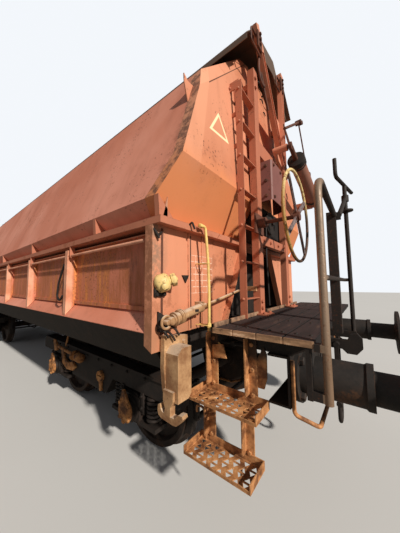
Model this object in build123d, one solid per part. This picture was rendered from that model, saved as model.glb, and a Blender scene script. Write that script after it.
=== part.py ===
from build123d import *
import math
import os

# A four-axle saddle-bottom hopper wagon that empties itself through flaps along both sides.
# Millimetres. X runs along the wagon, Y across it and Z up. Heights here are above the rail top;
# save() lifts every piece by the flange height, so the origin lies under the middle of the wagon,
# at the lowest point of the wheel flanges. The end with the platform is the front, at +X.

# Main sizes
frame_length = 11300
pivot_distance = 6600
wheel_base = 1800
wheel_diameter = 920
flange_height = 30
half_width = 1500
skin = 8

# Hopper body from the waist up: distances in from the widest point, and heights
rim_top = 2015
rim_depth = 45
foot_in = 135
hip_z = 2150
knee_in, knee_z = 390, 3270
slot_y, top_z = 370, 4050

# Ends of the hopper body, as distances back from the headstock face
foot_back = 700
fold_back, fold_z = 485, 2420
crown_back = 570
rim_back = 580
band_width = 95
band_back = 35
corner_return = 90

# Saddle floor
ridge_z = 2950
lip_z = 1310

# Lower box ends and corner posts
box_back = 650
post_wide = 80
post_deep = 70
post_foot_z = 1200

# Side flaps: distances in from the widest point, and heights
bays_per_flap = 4
flap_gap = 12
flap_end_gap = 32
panel_in = 100
rib_wide = 60
rib_top_z = 1940
hinge_in, hinge_z = 22, 1885
hinge_rod = 24
pin_play = 0.5

# Underframe
sill_top_z = 1250
sill_bottom_z = 970
sill_y = 250
sill_wide = 100
side_flange_in = 300
side_knee_in = 180
side_sill_z = 1040
bolster_long = 400
headstock_half = 1090
headstock_deep = 120
headstock_low_z, headstock_high_z = 930, 1200
plate = 12

# Buffers and draw gear
buffer_y = 875
buffer_z = 1060
casing_diameter, casing_long = 215, 360
plunger_diameter, plunger_long = 165, 580
head_diameter, buffer_long = 450, 620

# Bogies
wheel_back_y = 680
rim_wide = 135
axle_diameter = 160
journal_diameter = 130
side_frame_y = 1000
side_frame_wide = 120
bogie_half = 1500
bogie_top_z = 800
bowl_diameter = 360
bowl_top_z = 845
pivot_gap = 0.5
box_half = 120
guard_thick = 32
guard_low_z = 440
spring_out = 250
spring_diameter = 150
spring_top_z = 620
wing_top_z = 380

# End platform and its columns
deck_z = 1320
deck_thick = 32
deck_in, deck_out = 450, 140
deck_half = 1170
column_deep = 68
column_wide = 100
column_back = 412
column_left_y, column_right_y = -400, 430
column_top_z = 3750
beam_low_z, beam_high_z = 1980, 2070
cover_low_z, cover_high_z = 2400, 2800

# Ladder, hand wheel, guard rail and brake column
stile_y = -720
first_rung_z, rung_pitch, rung_count = 1480, 310, 7
wheel_y, wheel_z, wheel_radius = -480, 2150, 370
rail_out = 190
rail_left_y, rail_right_y = -1150, -450
rail_left_z, rail_right_z = 2150, 2110
rail_bar_z = 1630
pole_out, pole_y, pole_top_z, pole_diameter = 235, 130, 2550, 36
crank_half, crank_turn = 265, 10

# Steps: z and distance back of each tread, then the same for the hangers
tread_long, tread_deep = 450, 190
tread_edge_y = 1080
tread_rows = ((550, 610), (890, 570))
hanger_rows = ((545, 890, 555), (545, 890, 280), (885, 1270, 530), (885, 1270, 250))

# Swing roof and its cylinder
roof_back = 350
arm_front_back, arm_thick = 345, 55
roof_skin = 6
roof_pivot_y, roof_pivot_z = 300, 2950
arm_wide = 80
pivot_pin = 60
ram_plane = 215
ram_pin_in, ram_pin_z = 250, 2800
ram_eye_y, ram_eye_z = 30, 3095
ram_diameter = 180
ram_stroke = 172
ram_rod = 50

half_frame = frame_length / 2
half_pivot = pivot_distance / 2
axle_z = wheel_diameter / 2
box_x = half_frame - box_back
rim_x = half_frame - rim_back
foot_y = half_width - foot_in
knee_y = half_width - knee_in
panel_y = half_width - panel_in
hinge_y = half_width - hinge_in
side_flange_y = half_width - side_flange_in
side_knee_y = half_width - side_knee_in


def save(name, shape):
    export_step(Pos(0, 0, flange_height) * shape, os.path.join("parts", name + ".step"))


def outline(points):
    return make_face(Polyline(*points, close=True))


def along_x(points, x0, x1):
    """The outline points (y, z), from x0 to x1."""
    return Pos(x0, 0, 0) * (Plane.YZ * extrude(outline(points), x1 - x0, dir=(0, 0, 1)))


def along_y(points, y0, y1):
    """The outline points (x, z), from y0 to y1."""
    return Pos(0, y1, 0) * (Plane.XZ * extrude(outline(points), y1 - y0, dir=(0, 0, 1)))


def along_z(points, z0, z1):
    """The outline points (x, y), from z0 to z1."""
    return Pos(0, 0, z0) * extrude(outline(points), z1 - z0, dir=(0, 0, 1))


def block(x0, x1, y0, y1, z0, z1):
    centre = Pos((x0 + x1) / 2, (y0 + y1) / 2, (z0 + z1) / 2)
    return centre * Box(abs(x1 - x0), abs(y1 - y0), abs(z1 - z0))


def rod(start, end, diameter):
    start, end = Vector(*start), Vector(*end)
    return Plane(origin=start, z_dir=end - start) * extrude(Circle(diameter / 2), (end - start).length)


def tube(points, bend, diameter):
    """A round bar along straight runs with a bend of one radius at each corner."""
    path = FilletPolyline(*points, radius=bend)
    start = Plane(origin=points[0], z_dir=Vector(*points[1]) - Vector(*points[0]))
    return sweep(start * Circle(diameter / 2), path=path)


def shifted(points, distance):
    """The open line points, moved to its left by distance, with sharp corners."""
    normals = []
    for (a, b), (c, d) in zip(points, points[1:]):
        length = math.hypot(c - a, d - b)
        normals.append(((b - d) / length, (c - a) / length))
    moved = []
    for i, (u, v) in enumerate(points):
        before = normals[max(i - 1, 0)]
        after = normals[min(i, len(normals) - 1)]
        scale = distance / (1 + before[0] * after[0] + before[1] * after[1])
        moved.append((u + (before[0] + after[0]) * scale, v + (before[1] + after[1]) * scale))
    return moved


def bent(points, thickness):
    """The closed outline of a sheet bent along points, with its thickness to their left."""
    return points + shifted(points, thickness)[::-1]


def bar(p, q, width):
    """The outline of a straight flat bar from p to q."""
    half = width / 2
    return shifted([p, q], half) + shifted([p, q], -half)[::-1]


def from_left(points):
    """Points given as distance in from the left side and height, as (y, z)."""
    return [(inset - half_width, z) for inset, z in points]


def three_point_plane(a, b, c):
    a, b, c = Vector(*a), Vector(*b), Vector(*c)
    return Plane(origin=a, x_dir=b - a, z_dir=(b - a).cross(c - a))


def both_sides(shape):
    return shape + mirror(shape, about=Plane.XZ)


def both_ends(shape):
    return shape + mirror(shape, about=Plane.YZ)


def rear(shape):
    return mirror(shape, about=Plane.YZ)


# Hopper body: a closed envelope whose walls can be moved in, so that plates are differences of two
foot_x = half_frame - foot_back
fold_x = half_frame - fold_back
crown_x = half_frame - crown_back
slope_angle = math.atan2(top_z - knee_z, knee_y - slot_y)


def end_planes():
    """The planes that close one end of the envelope, each with its normal outward."""
    low = three_point_plane((foot_x, 0, rim_top), (foot_x, 1, rim_top), (fold_x, 0, fold_z))
    high = three_point_plane((fold_x, 0, fold_z), (fold_x, 1, fold_z), (crown_x, 0, top_z))
    lean = (crown_x - fold_x) / (top_z - fold_z)

    def on_face(y, z, back=0):
        return (fold_x + (z - fold_z) * lean - back, y, z)

    drop_y, drop_z = band_width * math.sin(slope_angle), band_width * math.cos(slope_angle)
    inner_a = on_face(knee_y - drop_y, knee_z - drop_z)
    inner_b = on_face(slot_y - drop_y, top_z - drop_z)
    edge = on_face(knee_y, knee_z, band_back)
    gable = three_point_plane(inner_a, inner_b, edge)
    if gable.z_dir.X < 0:
        gable = Plane(origin=gable.origin, x_dir=gable.x_dir, z_dir=-gable.z_dir)
    other = Plane(
        origin=(gable.origin.X, -gable.origin.Y, gable.origin.Z),
        z_dir=(gable.z_dir.X, -gable.z_dir.Y, gable.z_dir.Z),
    )
    return [low, high, gable, other]


def envelope(side_in, end_in, reach=0):
    """The hopper body with its sides and ends moved in; reach opens it at top and bottom."""
    side = [(foot_y, rim_top), (half_width, hip_z), (knee_y, knee_z), (slot_y, top_z)]
    side = shifted(side, side_in)
    if reach:
        side[0] = (side[0][0] - reach - side_in, side[0][1] - reach)
        grow = reach / math.tan(slope_angle)
        side[-1] = (side[-1][0] - grow, side[-1][1] + reach)
    other = [(-y, z) for y, z in reversed(side)]
    half = along_x(side + other, 0, half_frame)
    for plane in end_planes():
        half = split(half, bisect_by=plane.offset(-end_in), keep=Keep.BOTTOM)
    return both_ends(half)


def saddle_under(y):
    """Height of the saddle floor's underside."""
    slope = (ridge_z - lip_z) / half_width
    return ridge_z - slope * abs(y) - skin * math.hypot(1, slope)


def corner_post():
    back = box_x - post_deep
    high = rim_top - rim_depth
    leg = [(back, high), (box_x, high), (box_x, post_foot_z), (back, post_foot_z + post_deep / 2)]
    return along_y(leg, half_width - post_wide, half_width)


outer = envelope(0, 0)
inner = envelope(skin, skin, 40)
shell = outer - inner
core = envelope(-5, corner_return, 60)
posts = both_sides(corner_post())
saddle_sheet = bent([(-half_width, lip_z), (0, ridge_z), (half_width, lip_z)], -skin)
lower_box = block(-box_x + skin, box_x - skin, -half_width, half_width, lip_z - 100, rim_top)


def hopper_walls():
    sides = (shell & core).solids().sort_by(Axis.Y)
    ends = (shell - core).solids().sort_by(Axis.X)
    return sides, ends


def inspection_window():
    """The opening in an end wall between the columns, from their beam to the gear cover."""
    left = column_left_y + column_wide / 2
    right = column_right_y - column_wide / 2
    return block(foot_x - 100, half_frame, left, right, beam_high_z + 10, cover_low_z)


def saddle_floor():
    floor = along_x(saddle_sheet, -half_frame, half_frame)
    return (floor & (inner + lower_box)) - both_ends(posts)


# Waist rim, with the gussets that stand on it under the hips
gusset_pitch = 1700
gusset_thick = 40
rim_wide_end = 180


def gusset_places():
    """One gusset close to each end of the rim, and the others evenly from the middle."""
    last = rim_x - gusset_thick
    count = int(last / gusset_pitch + 0.5)
    return [(i + 0.5) * gusset_pitch for i in range(count)] + [last]


def waist_rim():
    low = rim_top - rim_depth
    opening_x, opening_y = rim_x - rim_wide_end, foot_y - 40
    ring = block(-rim_x, rim_x, -half_width, half_width, low, rim_top)
    ring -= block(-opening_x, opening_x, -opening_y, opening_y, low, rim_top)
    ring -= along_x(saddle_sheet, -half_frame, half_frame)
    wedge = [(foot_y, rim_top), (half_width - 10, rim_top), (half_width, hip_z)]
    for x in gusset_places():
        web = both_sides(along_x(wedge, x - gusset_thick / 2, x + gusset_thick / 2))
        ring += both_ends(web - outer)
    return ring


# Lower box ends: sheets beside the saddle, with cover strips and a flanged inner edge
sheet_inner_top_y, sheet_inner_low_y = 360, 730
sheet_low_z = 1280
strips_in = (335, 495)


def box_end():
    high = rim_top - rim_depth
    left = half_width - post_wide
    face = [(left, high), (sheet_inner_top_y, high), (sheet_inner_low_y, sheet_low_z), (left, sheet_low_z)]
    sheet = along_x(face, box_x - skin, box_x)
    for inset in strips_in:
        y = half_width - inset
        sheet += block(box_x, box_x + 6, y - 12, y + 12, sheet_low_z, high)
    edge = [(sheet_inner_top_y, high), (sheet_inner_low_y, sheet_low_z)]
    flange = along_x(bent(edge, 10), box_x, box_x + 55)
    sheet += flange - block(box_x, box_x + 60, 0, half_width, high, high + 20)
    return both_sides(sheet + corner_post())


# Underframe
def sill_outline(y):
    left, right = y - sill_wide / 2, y + sill_wide / 2
    return [(left, sill_bottom_z), (right, sill_bottom_z), (right, sill_top_z), (left, sill_top_z)]


def centre_sills():
    reach = half_frame - plate
    return [along_x(sill_outline(y), -reach, reach) for y in (-sill_y, sill_y)]


member_low_z = side_sill_z + 10
member_y = side_flange_y + 60
end_member_x = box_x - 200


def cross_members(sills):
    """Members between the centre sills and out to the side sills, one row at each place."""
    members = []
    for x in (-end_member_x, -half_pivot / 2, 0, half_pivot / 2, end_member_x):
        members.append(block(x - 50, x + 50, -member_y, member_y, member_low_z, sill_top_z))
    return [member - sills for member in members]


def body_bolster(sills):
    """The deep cross member over a bogie, with its centre plate and side bearers."""
    back, front = half_pivot - bolster_long / 2, half_pivot + bolster_long / 2
    bolster = block(back, front, -member_y, member_y, member_low_z, sill_top_z)
    bolster += block(back, front, -side_frame_y, side_frame_y, sill_bottom_z, member_low_z)
    bolster = bolster - sills
    plate_low = bowl_top_z + pivot_gap
    middle = Pos(half_pivot, 0, (plate_low + sill_bottom_z) / 2)
    bolster += middle * Cylinder(bowl_diameter / 2, sill_bottom_z - plate_low)
    for y in (-850, 850):
        bolster += block(half_pivot - 90, half_pivot + 90, y - 60, y + 60, sill_bottom_z - 90, sill_bottom_z)
    return bolster


def side_sills():
    top_y = half_width - 12
    line = [(side_flange_y, side_sill_z), (side_knee_y, side_sill_z), (top_y, saddle_under(top_y) - 1)]
    sill = along_x(bent(line, 10), -box_x + post_deep, box_x - post_deep)
    return both_sides(sill)


def saddle_frames():
    """Cross plates that carry the saddle floor on the underframe."""
    wide = side_knee_y
    side = saddle_under(wide)
    web = [(-wide, sill_top_z), (-wide, side), (0, saddle_under(0)), (wide, side), (wide, sill_top_z)]
    half = (half_pivot / 2, half_pivot, end_member_x)
    places = [-x for x in reversed(half)] + [0] + list(half)
    return [along_x(web, x - 6, x + 6) for x in places]


def headstock(beams):
    back = half_frame - headstock_deep
    line = [(back, headstock_high_z), (half_frame, headstock_high_z)]
    line += [(half_frame, headstock_low_z), (back, headstock_low_z)]
    return along_y(bent(line, -plate), -headstock_half, headstock_half) - beams


def buffer(y):
    """Casing on a round flange, plunger and a domed head with a flat middle."""
    radius = (casing_diameter / 2, plunger_diameter / 2, head_diameter / 2)
    line = [(0, 0), (0, 165), (24, 165), (24, radius[0] + 12), (70, radius[0] + 12), (90, radius[0])]
    line += [(casing_long - 40, radius[0]), (casing_long - 30, radius[0] + 8), (casing_long, radius[0] + 8)]
    line += [(casing_long, radius[1]), (plunger_long - 20, radius[1]), (plunger_long, radius[1] + 25)]
    line += [(plunger_long, radius[2]), (buffer_long - 16, radius[2]), (buffer_long - 5, radius[2] / 2)]
    line += [(buffer_long, 50), (buffer_long, 0)]
    solid = revolve(Plane.XZ * outline(line), axis=Axis.X)
    return Pos(half_frame, y, buffer_z) * solid


def coupling():
    """Draw hook in its guide, with the screw and shackle hanging free from the hook."""
    x = half_frame
    hook = [(x, 1020), (x, 1100), (x + 190, 1100), (x + 215, 1150), (x + 265, 1165), (x + 300, 1120)]
    hook += [(x + 300, 1040), (x + 255, 985), (x + 185, 985), (x + 150, 1020)]
    gear = along_y(hook, -22, 22)
    gear += block(x, x + 30, -80, 80, 960, 1160)
    gear += rod((x + 110, -75, buffer_z), (x + 110, 75, buffer_z), 45)
    for y in (-55, 55):
        gear += block(x + 92, x + 128, y - 9, y + 9, 770, buffer_z)
    gear += rod((x + 110, -85, 770), (x + 110, 85, 770), 48)
    gear += rod((x + 110, 0, 770), (x + 110, 0, 560), 38)
    gear += rod((x + 110, -85, 560), (x + 110, 85, 560), 44)
    shackle = tube([(x + 110, -70, 560), (x + 110, -70, 400), (x + 110, 70, 400), (x + 110, 70, 560)], 60, 30)
    return gear + shackle


def shunter_grip():
    """A bent handle under a buffer, with both its feet on the headstock face."""
    inner_y, outer_y = buffer_y - 190, buffer_y + 195
    foot_x0 = half_frame + 11
    points = [(foot_x0, -outer_y, 1180), (foot_x0, -outer_y, 900), (half_frame + 120, -outer_y + 70, 840)]
    points += [(half_frame + 120, -inner_y - 40, 840), (foot_x0, -inner_y, 900), (foot_x0, -inner_y, 1000)]
    return tube(points, 40, 22)


# Air reservoir and brake cylinder, each on two bars between cross members
def drum(x0, x1, radius):
    """A domed vessel along X with its middle line at the origin's height."""
    line = [(x0, 0), (x0 + 12, radius / 2), (x0 + 50, radius)]
    line += [(x1 - 50, radius), (x1 - 12, radius / 2), (x1, 0)]
    return revolve(Plane.XZ * outline(line), axis=Axis.X)


def hung_drum(x0, x1, y, radius, bar_x0, bar_x1):
    """A drum on saddles under a pair of bars that reach from one cross member to the next."""
    z = member_low_z - 35 - radius
    vessel = Pos(0, y, z) * drum(x0, x1, radius)
    rack = None
    for x in (x0 + 150, x1 - 150):
        saddle = block(x - 15, x + 15, y - radius / 2, y + radius / 2, z, member_low_z - 20)
        saddle -= rod((x - 20, y, z), (x + 20, y, z), 2 * radius)
        rack = saddle if rack is None else rack + saddle
    for side in (-radius / 2, radius / 2):
        rack += block(bar_x0, bar_x1, y + side - 20, y + side + 20, member_low_z - 20, member_low_z)
    return vessel, rack


def brake_gear():
    span = half_pivot / 2
    reservoir, rack = hung_drum(-span + 250, -250, 640, 165, -span - 40, 40)
    pieces = [reservoir, rack]
    cylinder, rack = hung_drum(250, 780, -640, 150, -40, span + 40)
    z = member_low_z - 35 - 150
    cylinder += rod((730, -640, z), (752, -640, z), 350)
    cylinder += rod((760, -640, z), (1180, -640, z), 45)
    lever = block(1150, 1182, -670, -610, z - 90, member_low_z - 20)
    lever += block(1100, 1232, -715, -565, member_low_z - 35, member_low_z - 20)
    return pieces + [cylinder + lever, rack]


# Bogie: side frames with axle guards, bolster, centre bowl and end beams
def side_frame_outline():
    axle = wheel_base / 2
    guard = box_half + 14
    half = [(0, bogie_top_z), (bogie_half - 60, bogie_top_z), (bogie_half, bogie_top_z - 50)]
    half += [(bogie_half, spring_top_z)]
    for edge in (guard + guard_thick, guard, -guard, -guard - guard_thick):
        x = axle + edge
        pair = [(x, spring_top_z), (x, guard_low_z)]
        half += pair if edge in (guard + guard_thick, -guard) else pair[::-1]
    half += [(axle - spring_out - 100, spring_top_z), (axle - spring_out - 230, guard_low_z)]
    return half + [(-x, z) for x, z in reversed(half)][:-1]


def bogie_frame(x):
    half = side_frame_wide / 2
    frame = both_sides(along_y(side_frame_outline(), side_frame_y - half, side_frame_y + half))
    inner_y = side_frame_y - half
    frame += block(-200, 200, -inner_y, inner_y, 520, bogie_top_z)
    frame += Pos(0, 0, (bogie_top_z + bowl_top_z) / 2) * Cylinder(bowl_diameter / 2, bowl_top_z - bogie_top_z)
    frame += both_sides(block(-110, 110, 800, 900, bogie_top_z, bogie_top_z + 60))
    for y in (side_frame_y - half - 14, side_frame_y + half):
        lips = block(-bogie_half + 80, bogie_half - 80, y, y + 14, bogie_top_z - 22, bogie_top_z)
        frame += both_sides(lips)
    return Pos(x, 0, 0) * frame


def axle_boxes(x):
    """Axle boxes with spring seats on both sides, and the bearing covers."""
    boxes = []
    for axle in (-wheel_base / 2, wheel_base / 2):
        for side in (-1, 1):
            y = side * side_frame_y
            case = block(-box_half, box_half, y - 75, y + 75, axle_z - 100, axle_z + 120)
            seat = spring_out + spring_diameter / 2 + 10
            case += block(-seat, seat, y - 70, y + 70, wing_top_z - 35, wing_top_z)
            face = y + side * 75
            case += rod((0, face, axle_z), (0, face + side * 22, axle_z), 230)
            case += rod((0, face, axle_z), (0, face + side * 60, axle_z), 170)
            journal = side * (side_frame_y + 60)
            case -= rod((0, 0, axle_z), (0, journal, axle_z), journal_diameter + 2 * pin_play)
            boxes.append(Pos(x + axle, 0, 0) * case)
    return boxes


def coil_stack():
    """A spring of closely wound turns, drawn as a stack of rings."""
    turns = 6
    pitch = (spring_top_z - wing_top_z) / turns
    radius = spring_diameter / 2
    line = [(0, wing_top_z)]
    for i in range(turns):
        z = wing_top_z + i * pitch
        line += [(radius - 14, z), (radius, z + 0.3 * pitch), (radius, z + 0.7 * pitch)]
    line += [(radius - 14, spring_top_z), (0, spring_top_z)]
    return revolve(Plane.XZ * outline(line), axis=Axis.Z)


def springs(x):
    stack = coil_stack()
    coils = []
    for axle in (-wheel_base / 2, wheel_base / 2):
        for side in (-1, 1):
            for offset in (-spring_out, spring_out):
                coils.append(Pos(x + axle + offset, side * side_frame_y, 0) * stack)
    return coils


def bogie_brakes(x):
    """Cast blocks on both sides of each wheel, on hangers pinned to the side frames."""
    radius = wheel_diameter / 2 + 8
    middle = wheel_back_y + 87
    gear = []
    for axle in (-wheel_base / 2, wheel_base / 2):
        for way in (-1, 1):
            ring = Pos(0, 0, axle_z) * Rot(90, 0, 0) * (Cylinder(radius + 60, 80) - Cylinder(radius, 80))
            shoe = ring & block(way * 250, way * 600, -38, 38, axle_z - 190, axle_z + 110)
            shoe = Pos(0, middle, 0) * shoe
            hang_x = way * (radius + 75)
            shoe += block(hang_x - 18, hang_x + 18, middle - 20, middle + 20, axle_z - 60, 745)
            pin_end = side_frame_y - side_frame_wide / 2
            shoe += rod((hang_x, middle, 730), (hang_x, pin_end, 730), 30)
            pair = both_sides(shoe)
            pair += rod((hang_x, -middle, axle_z - 40), (hang_x, middle, axle_z - 40), 44)
            gear.append(Pos(x + axle, 0, 0) * pair)
    return gear


def wheelset(x):
    r = wheel_diameter / 2
    back, front = wheel_back_y, wheel_back_y + rim_wide
    hub = axle_diameter / 2 + 35
    half = [(0, 0), (0, axle_diameter / 2), (back - 20, axle_diameter / 2), (back - 20, hub)]
    half += [(back + 45, hub + 15), (back + 45, r - 75), (back, r - 60), (back, r + 12)]
    half += [(back + 12, r + flange_height), (back + 24, r + flange_height), (back + 38, r), (front, r - 5)]
    half += [(front, r - 55), (back + 75, r - 75), (back + 75, hub + 15), (front + 15, hub)]
    half += [(front + 15, journal_diameter / 2 + 8), (side_frame_y - 78, journal_diameter / 2 + 8)]
    half += [(side_frame_y - 78, journal_diameter / 2), (side_frame_y + 58, journal_diameter / 2)]
    half += [(side_frame_y + 58, 0)]
    wheel = revolve(outline([(z, y) for y, z in half]), axis=Axis.Y)
    return Pos(x, 0, axle_z) * (wheel + mirror(wheel, about=Plane.XZ))


# Side flap: a panel with hat-shaped ribs, hung on a rod under the rim
flap_end_x = box_x - post_deep - flap_end_gap
bay = (flap_end_x + rib_wide / 2 + 8) / bays_per_flap


def flap():
    """The flap at the front right, with its closed side out at y = half_width."""
    x0 = flap_gap / 2
    line = lip_z + panel_in * (ridge_z - lip_z) / half_width + 6
    leaf = block(x0, flap_end_x, panel_y, panel_y + skin, line, rib_top_z)
    rib_side = [(panel_y + skin, line - 8), (half_width - 4, lip_z + 12), (half_width - 4, hinge_z - 30)]
    rib_side += [(hinge_y + 16, rib_top_z), (panel_y + skin, rib_top_z)]
    for i in range(bays_per_flap):
        x = max(i * bay, x0 + rib_wide / 2)
        left, right = x - rib_wide / 2, x + rib_wide / 2
        hat = along_x(rib_side, left, right)
        hollow = block(left + 7, right - 7, panel_y + skin, half_width - 11, 1000, rib_top_z - 100)
        leaf += hat - hollow
    leaf += block(x0, flap_end_x, panel_y + skin, panel_y + 40, rib_top_z - 8, rib_top_z)
    leaf += block(x0, flap_end_x, panel_y + skin, panel_y + 22, line, line + 30)
    leaf += rod((x0, hinge_y, hinge_z), (flap_end_x, hinge_y, hinge_z), hinge_rod)
    return leaf


def flap_hangers():
    """Lugs from the rim down to the hinge rods, beside the ribs."""
    lugs = None
    low = rim_top - rim_depth
    side = [(hinge_y - 22, low), (hinge_y - 22, hinge_z), (hinge_y - 10, hinge_z - 22)]
    side += [(hinge_y + 10, hinge_z - 22), (hinge_y + 22, hinge_z), (hinge_y + 22, low)]
    for i in range(bays_per_flap):
        x = i * bay + rib_wide + 25
        lug = along_x(side, x - 6, x + 6)
        lug -= rod((x - 7, hinge_y, hinge_z), (x + 7, hinge_y, hinge_z), hinge_rod + 2 * pin_play)
        lugs = lug if lugs is None else lugs + lug
    return both_ends(both_sides(lugs))


# Flap lock: a casting on each corner post, as distance in from the side and height.
# Its claw has a hook each way, as distance out from the box end and height.
lock_plate = [(56, 1300), (260, 1270), (260, 1130), (150, 1112), (147, 975), (68, 975), (52, 1112)]
lock_claw = [(46, 1000), (126, 1000), (124, 950), (104, 915), (103, 866), (135, 868), (165, 897), (195, 900)]
lock_claw += [(200, 885), (170, 850), (150, 835), (128, 831), (30, 838), (8, 850), (0, 872), (4, 905)]
lock_claw += [(20, 912), (26, 888), (40, 873), (55, 873), (63, 900), (46, 940)]
lock_catch = [(66, 1200), (100, 1234), (180, 1234), (180, 965), (155, 940), (66, 940)]


def flap_lock():
    casting = along_x(from_left(lock_plate), box_x + 20, box_x + 50)
    claw = [(box_x + out, z) for out, z in lock_claw]
    casting += along_y(claw, 50 - half_width, 90 - half_width)
    casting += along_x(from_left(lock_catch), box_x + 50, box_x + 150)
    casting += block(box_x, box_x + 20, 60 - half_width, 240 - half_width, 1200, 1272)
    return casting


def lock_gear():
    pair = both_sides(flap_lock())
    return [solid for end in (pair, rear(pair)) for solid in end.solids()]


# Shaft of the flap gear across the left corner: start and end along it, and diameter
shaft_in, shaft_z = 94, 1389
shaft_tip_y, shaft_tip_z = -470, 1555
shaft_back = 575
shaft_steps = ((0, 55, 64), (55, 82, 80), (82, 290, 59), (290, 345, 34), (345, 960, 22))


def lever_shaft():
    """A stepped shaft with a ring at its outer end, on two lugs."""
    x = half_frame - shaft_back
    start = Vector(x, shaft_in - half_width, shaft_z)
    way = (Vector(x, shaft_tip_y, shaft_tip_z) - start).normalized()
    ring_middle = start - way * 48
    shaft = Pos(*ring_middle) * Rot(0, 90, 0) * Torus(36, 8)
    shaft += rod(tuple(start - way * 14), tuple(start), 20)
    for near, far, diameter in shaft_steps:
        shaft += rod(tuple(start + way * near), tuple(start + way * far), diameter)
    neck = start + way * 320
    shaft += block(box_x, x, neck.Y - 12, neck.Y + 12, neck.Z - 30, neck.Z + 30)
    tip = start + way * 960
    face = column_left_y - column_wide / 2
    shaft += block(x - 20, half_frame - column_back - 30, tip.Y - 14, face, tip.Z - 22, tip.Z + 22)
    return shaft


# Air valve on the left corner post, and the pipe beside it: (y, z) along the pipe
pipe_line = ((-1157, 2039), (-1104, 2044), (-1091, 1927), (-1072, 1751), (-1065, 1556))
pipe_line += ((-1069, 1308), (-1078, 1214), (-940, 1150))
pipe_back = 545
pipe_diameter = 20
valve_in, valve_z = 55, 1575


def air_valve():
    x = box_x + 60
    y = valve_in - half_width
    bell = [(0, 0), (26, 0), (26, 26), (50, 32), (50, 74), (38, 100), (16, 112), (0, 112)]
    valve = Pos(x, y, valve_z) * revolve(Plane.XZ * outline(bell), axis=Axis.Z)
    valve += Plane(origin=(x, y + 30, valve_z + 70), z_dir=(0, 1, 0)) * extrude(RegularPolygon(28, 6), 62)
    valve += block(box_x, x, y - 5, y + 35, valve_z + 30, valve_z + 75)
    return valve


def air_pipe():
    x = half_frame - pipe_back
    pipe = tube([(x, y, z) for y, z in pipe_line], 25, pipe_diameter)
    for y, z in (pipe_line[3], pipe_line[5]):
        pipe += block(box_x, x, y - 12, y + 12, z - 12, z + 12)
    y, z = pipe_line[0]
    pipe += block(rim_x, x + 4, y - 60, y + 12, rim_top - rim_depth, z + 8)
    return pipe


# Swing roof: a shell over the slot, on arms that turn about a pin at each end
roof_line = [(-720, 3760), (-720, 3820), (-470, 4125), (-230, 4250), (150, 4330), (660, 3865)]
arm_tops = ((-470, 4155), (295, 4235))
notch_left_y, notch_right_y = -600, 345


def roof_shell():
    reach = half_frame - roof_back
    gable_x = half_frame - arm_front_back - arm_thick
    sheet = along_x(bent(roof_line, -roof_skin), -reach, reach)
    notch = block(gable_x, reach, notch_left_y, notch_right_y, roof_line[1][1], roof_line[4][1] + 20)
    sheet -= both_ends(notch)
    gable = shifted(roof_line, -roof_skin)[2:] + [(570, 3850), (120, 4130), (-400, 4060)]
    for x in (-gable_x, gable_x - roof_skin):
        sheet += along_x(gable, x, x + roof_skin)
    return sheet


def roof_arms():
    x1 = half_frame - arm_front_back
    x0 = x1 - arm_thick
    pivot = (roof_pivot_y, roof_pivot_z)
    eye = (ram_eye_y, ram_eye_z)
    arms = rod((x0, *pivot), (x1, *pivot), 170)
    for top in arm_tops:
        side = along_x(bar(pivot, top, arm_wide), x0, x1)
        arms += side - along_x(bar(pivot, top, arm_wide - 16), x0 + 8, x1 + 1)
        away = Vector(top[0] - pivot[0], top[1] - pivot[1]).normalized()
        low = (top[0] - away.X * 230, top[1] - away.Y * 230)
        arms += along_x(bar(low, top, arm_wide), x0, x1)
    arms += along_x([pivot, (-80, 3590), (265, 3590)], x0, x0 + 10)
    arms += along_x(bar(pivot, eye, 70), x0, x0 + 30)
    arms += rod((x0, *eye), (half_frame - ram_plane - ram_rod / 2 - 5, *eye), 76)
    arms += rod((x0, *pivot), (x1, *pivot), 170)
    arms -= rod((x0 - 1, *pivot), (x1 + 1, *pivot), pivot_pin + 2 * pin_play)
    return arms


# Roof cylinder, in its own frame: at its pin, with its axis toward the rod's eye
ram_pin_y = half_width - ram_pin_in
ram_reach = math.hypot(ram_eye_y - ram_pin_y, ram_eye_z - ram_pin_z)
ram_eye_diameter = 84
ram_long = ram_reach - ram_stroke - ram_eye_diameter / 2 - 6
ram_place = Plane(
    origin=(half_frame - ram_plane, ram_pin_y, ram_pin_z),
    x_dir=(1, 0, 0),
    z_dir=(0, ram_eye_y - ram_pin_y, ram_eye_z - ram_pin_z),
)
bore_low = 600


def ram():
    body = Pos(0, 0, (ram_long + 70) / 2) * Cylinder(ram_diameter / 2 - 6, ram_long - 70)
    body += Pos(0, 0, 85) * Cylinder(ram_diameter / 2, 30)
    body += Pos(0, 0, ram_long - 20) * Cylinder(ram_diameter / 2, 40)
    body += Rot(0, 90, 0) * Cylinder(48, 36)
    body += block(-15, 15, -30, 30, 20, 75)
    body -= Rot(0, 90, 0) * Cylinder(20 + pin_play, 50)
    body -= Pos(0, 0, bore_low) * Cylinder(ram_rod / 2 + pin_play, 2 * (ram_long - bore_low) + 1)
    return ram_place * body


def ram_piston():
    low, high = bore_low + ram_stroke + 10, ram_reach - 20
    piston = Pos(0, 0, (low + high) / 2) * Cylinder(ram_rod / 2, high - low)
    piston += Pos(0, 0, ram_reach) * Rot(0, 90, 0) * Cylinder(ram_eye_diameter / 2, 30)
    return ram_place * piston


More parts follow.
